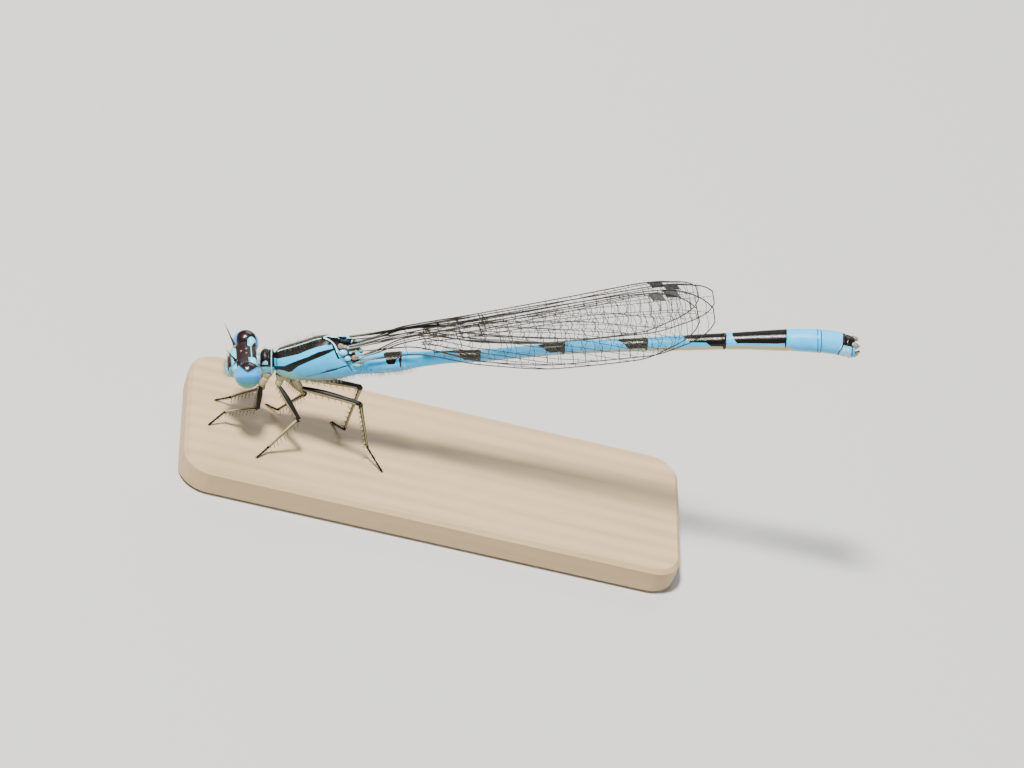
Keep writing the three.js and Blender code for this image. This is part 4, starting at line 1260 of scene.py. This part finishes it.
tree.links.new(grain_bump.outputs["Normal"], shader.inputs["Normal"])
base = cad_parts["stand_base"]
base.data.materials.clear()
base.data.materials.append(base_wood)


# The wings: four clear membranes about a hundredth of a millimetre thick, folded together over the back,
# the hindwings outside the forewings. A net of dark hollow veins stiffens them, pleated up and down in
# turn, with a notch at the nodus and one dark thick cell near the tip. They narrow to stalks at the root.
WINGS = {
    "forewing": {
        "root": (3.15, 1.03), "tip": (22.04, 3.5), "ahead": (0.1, 0.22, 0.42, 0.8, 1.17, 1.5, 1.68),
        "behind": (0.22, 0.24, 0.22, 1.55, 2.15, 2.15, 1.95),
        "out_ahead": (0.42, 0.32, 0.24, 0.15, 0.14, 0.16, 0.3, 0.72),
        "out_behind": (0.5, 0.52, 0.56, 0.78, 0.9, 0.92, 0.86, 0.72),
    },
    "hindwing": {
        "root": (3.4, 0.42), "tip": (21.2, 3.68), "ahead": (0.12, 0.36, 0.8, 1.0, 1.22, 1.45, 1.55),
        "behind": (0.2, 0.1, 0.1, 1.3, 2.15, 2.3, 2.05),
        "out_ahead": (0.62, 0.56, 0.5, 0.42, 0.4, 0.42, 0.52, 0.93),
        "out_behind": (0.66, 0.7, 0.74, 0.95, 1.08, 1.1, 1.04, 0.93),
    },
}
EDGE_PLACES = (0, 0.07, 0.15, 0.36, 0.58, 0.8, 0.9)
OUT_PLACES = (0, 0.07, 0.15, 0.36, 0.58, 0.8, 0.92, 1)
TIP_STARTS = 0.8
TIP_ROUNDNESS = 2.1
MEMBRANE_THICKNESS = 0.012
# The long veins from front to back: where each leaves its root and reaches the hind edge, as shares of
# the wing's length, its way across the chord, and its thickness at the root in millimetres.
LONG_VEINS = {
    "front_edge": {"span": (0.0, 0.995), "across": (0.0, 0.0, 0.0), "radius": 0.034},
    "under_edge": {"span": (0.03, 0.37), "across": (0.2, 0.12, 0.0), "radius": 0.022},
    "radius": {"span": (0.0, 0.965), "across": (0.36, 0.13, 0.01), "radius": 0.032},
    "first_fork": {"span": (0.2, 0.99), "across": (0.36, 0.24, 0.4), "radius": 0.026},
    "second_fork": {"span": (0.5, 0.955), "across": (0.3, 0.44, 1.0), "radius": 0.018},
    "third_fork": {"span": (0.36, 0.88), "across": (0.3, 0.5, 1.0), "radius": 0.022},
    "fourth_fork": {"span": (0.33, 0.78), "across": (0.36, 0.62, 1.0), "radius": 0.022},
    "middle": {"span": (0.2, 0.67), "across": (0.5, 0.76, 1.0), "radius": 0.024},
    "hind": {"span": (0.2, 0.55), "across": (0.72, 0.9, 1.0), "radius": 0.022},
    "hind_edge": {"span": (0.0, 0.995), "across": (1.0, 1.0, 1.0), "radius": 0.032},
}
SPOT_SPAN = (0.865, 0.9)
SPOT_CHORD = (0.005, 0.13)
SPOT_THICKNESS = 0.044
NET_SPAN = (0.2, 0.975)
CELL_LENGTH = 0.036
THINNEST_CELL = 0.02
CROSS_RADIUS = 0.0145
# Single cross veins as share of the length, front and hind end, and radius: the two thick ones ahead of
# the nodus, the nodus itself and the sides of the four-sided cell.
SINGLE_VEINS = (
    (0.245, 0.0, 0.36, 0.022), (0.3, 0.0, 0.3, 0.022), (0.37, 0.0, 0.3, 0.032),
    (0.205, 0.36, 0.74, 0.024), (0.3, 0.44, 0.84, 0.018), (0.15, 0.3, 1.0, 0.018),
)
RIM_RADIUS = 0.028
SPOT_RIM_RADIUS = 0.02
VEIN_SIDES = 6
PLEATS, PLEAT_DEPTH = 7, 0.02


def wing_points(wing, side, span, across):
    """Points of a folded wing at shares of its span, root to tip, and of its chord, front to hind edge."""
    span, across = np.broadcast_arrays(np.asarray(span, float), np.asarray(across, float))
    root = np.array(wing["root"])
    run = np.array(wing["tip"]) - root
    length = np.linalg.norm(run)
    forward = run / length
    upward = np.array((-forward[1], forward[0]))
    past = np.clip((span - TIP_STARTS) / (1 - TIP_STARTS), 0, 1)
    rounding = (1 - past**TIP_ROUNDNESS) ** (1 / TIP_ROUNDNESS)
    ahead = smooth_between(EDGE_PLACES, wing["ahead"], np.minimum(span, EDGE_PLACES[-1])) * rounding
    behind = smooth_between(EDGE_PLACES, wing["behind"], np.minimum(span, EDGE_PLACES[-1])) * rounding
    drop = ahead * (1 - across) - behind * across
    flat = root + forward * (span * length)[..., None] + upward * drop[..., None]
    out_ahead = smooth_between(OUT_PLACES, wing["out_ahead"], span)
    out_behind = smooth_between(OUT_PLACES, wing["out_behind"], span)
    out = out_ahead + (out_behind - out_ahead) * across**1.2
    pleat = PLEAT_DEPTH * np.sin(across * math.pi * PLEATS) * np.clip(1.2 - span, 0, 1) * rounding
    return np.stack([flat[..., 0], side * (out + pleat), flat[..., 1]], -1)


def long_vein(vein, steps=64):
    """The shares of span and chord along one long vein."""
    start, end = vein["span"]
    span = start + (end - start) * np.linspace(0, 1, steps) ** 0.9
    share = (span - start) / (end - start)
    across = smooth_between((0, 0.45, 1), vein["across"], share)
    return span, across


def vein_net(wing_seed):
    """Lines of the vein net as lists of (span, across, radius): the long veins, then the cross veins."""
    chance = np.random.default_rng(wing_seed)
    lines = []
    traces = {}
    for vein_name, vein in LONG_VEINS.items():
        span, across = long_vein(vein)
        traces[vein_name] = (span, across)
        ending = 0.9 if "edge" in vein_name else 0.5
        thickness = vein["radius"] * np.interp(span, (0, 0.4, 1), (1.15, 0.85, ending))
        lines.append(np.stack([span, across, thickness], -1))

    place = NET_SPAN[0]
    while place < NET_SPAN[1]:
        jog = 0.0
        levels = sorted(
            float(np.interp(place, span, across))
            for vein_name, (span, across) in traces.items()
            if vein_name != "under_edge" and span[0] <= place <= span[-1]
        )
        for front, back in zip(levels[:-1], levels[1:]):
            gap = back - front
            if gap < THINNEST_CELL:
                continue
            shift = float(chance.uniform(-0.25, 0.25)) * CELL_LENGTH + jog
            rows = 2 if gap > 0.3 and place > 0.45 else 1
            steps = np.linspace(front, back, 3 + rows)
            bend = 0.25 * CELL_LENGTH * math.sin(jog * 90)
            spans = place + shift + bend * np.sin(np.linspace(0, math.pi, len(steps)))
            lines.append(np.stack([np.clip(spans, 0, 0.99), steps, np.full(len(steps), CROSS_RADIUS)], -1))
            jog += 0.006
        place += CELL_LENGTH * float(chance.uniform(0.85, 1.12)) * (1.0 if place < 0.8 else 0.75)
    for place, front, back, radius in SINGLE_VEINS:
        spans = place + np.array((0, 0.004, 0.006))
        lines.append(np.stack([spans, np.linspace(front, back, 3), np.full(3, radius)], -1))
    rim = np.linspace(0, 1, 12)
    lines.append(np.stack([0.995 + 0 * rim, rim, RIM_RADIUS + 0 * rim], -1))
    for place in SPOT_SPAN:
        spans = place + np.array((0, 0.006, 0.012))
        lines.append(np.stack([spans, np.array((0, 0.07, 0.14)), np.full(3, SPOT_RIM_RADIUS)], -1))
    return lines


def vein_tubes_tree(material):
    """Geometry nodes that turn a net of edges into tubes, each point with its own radius."""
    tree = bpy.data.node_groups.new("vein_tubes", "GeometryNodeTree")
    tree.interface.new_socket("Net", in_out="INPUT", socket_type="NodeSocketGeometry")
    sides = tree.interface.new_socket("Tube sides", in_out="INPUT", socket_type="NodeSocketInt")
    sides.default_value = VEIN_SIDES
    tree.interface.new_socket("Tubes", in_out="OUTPUT", socket_type="NodeSocketGeometry")
    entry = tree.nodes.new("NodeGroupInput")
    to_curve = tree.nodes.new("GeometryNodeMeshToCurve")
    thickness = tree.nodes.new("GeometryNodeInputNamedAttribute")
    thickness.data_type = "FLOAT"
    thickness.inputs["Name"].default_value = "radius"
    set_radius = tree.nodes.new("GeometryNodeSetCurveRadius")
    circle = tree.nodes.new("GeometryNodeCurvePrimitiveCircle")
    circle.inputs["Radius"].default_value = 1.0
    radius = tree.nodes.new("GeometryNodeInputRadius")
    to_mesh = tree.nodes.new("GeometryNodeCurveToMesh")
    to_mesh.inputs["Fill Caps"].default_value = True
    realize = tree.nodes.new("GeometryNodeRealizeInstances")
    smooth = tree.nodes.new("GeometryNodeSetShadeSmooth")
    paint = tree.nodes.new("GeometryNodeSetMaterial")
    paint.inputs["Material"].default_value = material
    leave = tree.nodes.new("NodeGroupOutput")
    tree.links.new(entry.outputs["Net"], to_curve.inputs["Mesh"])
    tree.links.new(entry.outputs["Tube sides"], circle.inputs["Resolution"])
    tree.links.new(to_curve.outputs["Curve"], set_radius.inputs["Curve"])
    tree.links.new(thickness.outputs["Attribute"], set_radius.inputs["Radius"])
    tree.links.new(set_radius.outputs["Curve"], to_mesh.inputs["Curve"])
    tree.links.new(circle.outputs["Curve"], to_mesh.inputs["Profile Curve"])
    tree.links.new(radius.outputs["Radius"], to_mesh.inputs["Scale"])
    tree.links.new(to_mesh.outputs["Mesh"], smooth.inputs["Geometry"])
    tree.links.new(smooth.outputs["Geometry"], realize.inputs["Geometry"])
    tree.links.new(realize.outputs["Geometry"], paint.inputs["Geometry"])
    tree.links.new(paint.outputs["Geometry"], leave.inputs["Tubes"])
    return tree


def grown(name, start_mesh, tree, inputs):
    """A plain mesh from a start mesh and a node tree with named inputs, then put in its place."""
    holder = in_scene(name + "_start", start_mesh)
    modifier = holder.modifiers.new("grow", "NODES")
    modifier.node_group = tree
    for item in tree.interface.items_tree:
        if item.item_type == "SOCKET" and item.in_out == "INPUT" and item.name in inputs:
            modifier[item.identifier] = inputs[item.name]
    view = bpy.context.evaluated_depsgraph_get()
    mesh = bpy.data.meshes.new_from_object(holder.evaluated_get(view), depsgraph=view)
    mesh.name = name
    holder.modifiers.remove(modifier)
    bpy.data.objects.remove(holder)
    mesh.transform(body_place)
    return in_scene(name, mesh)


MEMBRANE_TINTS = ((0.3, 0.36, 0.3, 1), (0.5, 0.47, 0.38, 1))
membrane, tree, shader = two_tone("wing_membrane", 0.18, 700, *MEMBRANE_TINTS, 0.9)
shader.inputs["Alpha"].default_value = 0.02
rough_grain(tree, shader, 1500, 0.00002)

# The veins are paler over the first twentieth of the wing.
PALE_ROOT = 0.05
vein_cuticle, tree, shader = new_material("wing_vein", 0.45, 0.15)
vein_tone = mixed(tree, mottled(tree, 1200, 0.0, 1.0), (0.014, 0.011, 0.008, 1), (0.05, 0.038, 0.025, 1))
vein_tone = mixed(tree, edge_mask(tree, "near_root", 0.045), vein_tone, (0.3, 0.27, 0.2, 1))
tree.links.new(vein_tone, shader.inputs["Base Color"])
SPOT_GREYS = ((0.04, 0.045, 0.05, 1), (0.12, 0.12, 0.12, 1))
spot_cuticle, tree, shader = two_tone("wing_spot", 0.35, 9000, *SPOT_GREYS)

tube_tree = vein_tubes_tree(vein_cuticle)
wing_steps = 1 - (1 - np.linspace(0, 1, 90)) ** 1.5
wing_steps[-1] = 0.998
chord_steps = np.linspace(0, 1, 29)
for wing_number, (wing_name, wing) in enumerate(WINGS.items()):
    for side_name, side in (("left", -1), ("right", 1)):
        sheet = wing_points(wing, side, wing_steps[:, None], chord_steps[None, :])
        half = np.array((0, MEMBRANE_THICKNESS / 2, 0))
        loops = np.concatenate([sheet + half, sheet[:, ::-1] - half], 1)
        skin = closed_skin(f"{wing_name}_membrane_{side_name}", loops)
        skin.data.materials.append(membrane)
        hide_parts(f"{wing_name}_{side_name}")
        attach(skin, "root")

        points, edges, radii, near_root = [], [], [], []
        for line in vein_net(31 + wing_number * 2 + (side > 0)):
            first = len(points)
            points.extend(wing_points(wing, side, line[:, 0], line[:, 1]).tolist())
            radii.extend(line[:, 2].tolist())
            near_root.extend((PALE_ROOT - line[:, 0]).tolist())
            edges.extend((first + i, first + i + 1) for i in range(len(line) - 1))
        net = bpy.data.meshes.new(f"{wing_name}_net_{side_name}")
        net.from_pydata(points, edges, [])
        for value_name, values in (("radius", radii), ("near_root", near_root)):
            net.attributes.new(value_name, "FLOAT", "POINT").data.foreach_set("value", values)
        veins = grown(f"{wing_name}_veins_{side_name}", net, tube_tree, {"Tube sides": VEIN_SIDES})
        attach(veins, "root")

        spot_chord = np.linspace(*SPOT_CHORD, 6)[None, :]
        spot_steps = np.linspace(*SPOT_SPAN, 10)[:, None] + 0.1 * spot_chord
        sheet = wing_points(wing, side, spot_steps, spot_chord)
        half = np.array((0, SPOT_THICKNESS / 2, 0))
        loops = np.concatenate([sheet + half, sheet[:, ::-1] - half], 1)
        spot = closed_skin(f"{wing_name}_spot_{side_name}", loops)
        spot.data.materials.append(spot_cuticle)
        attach(spot, "root")
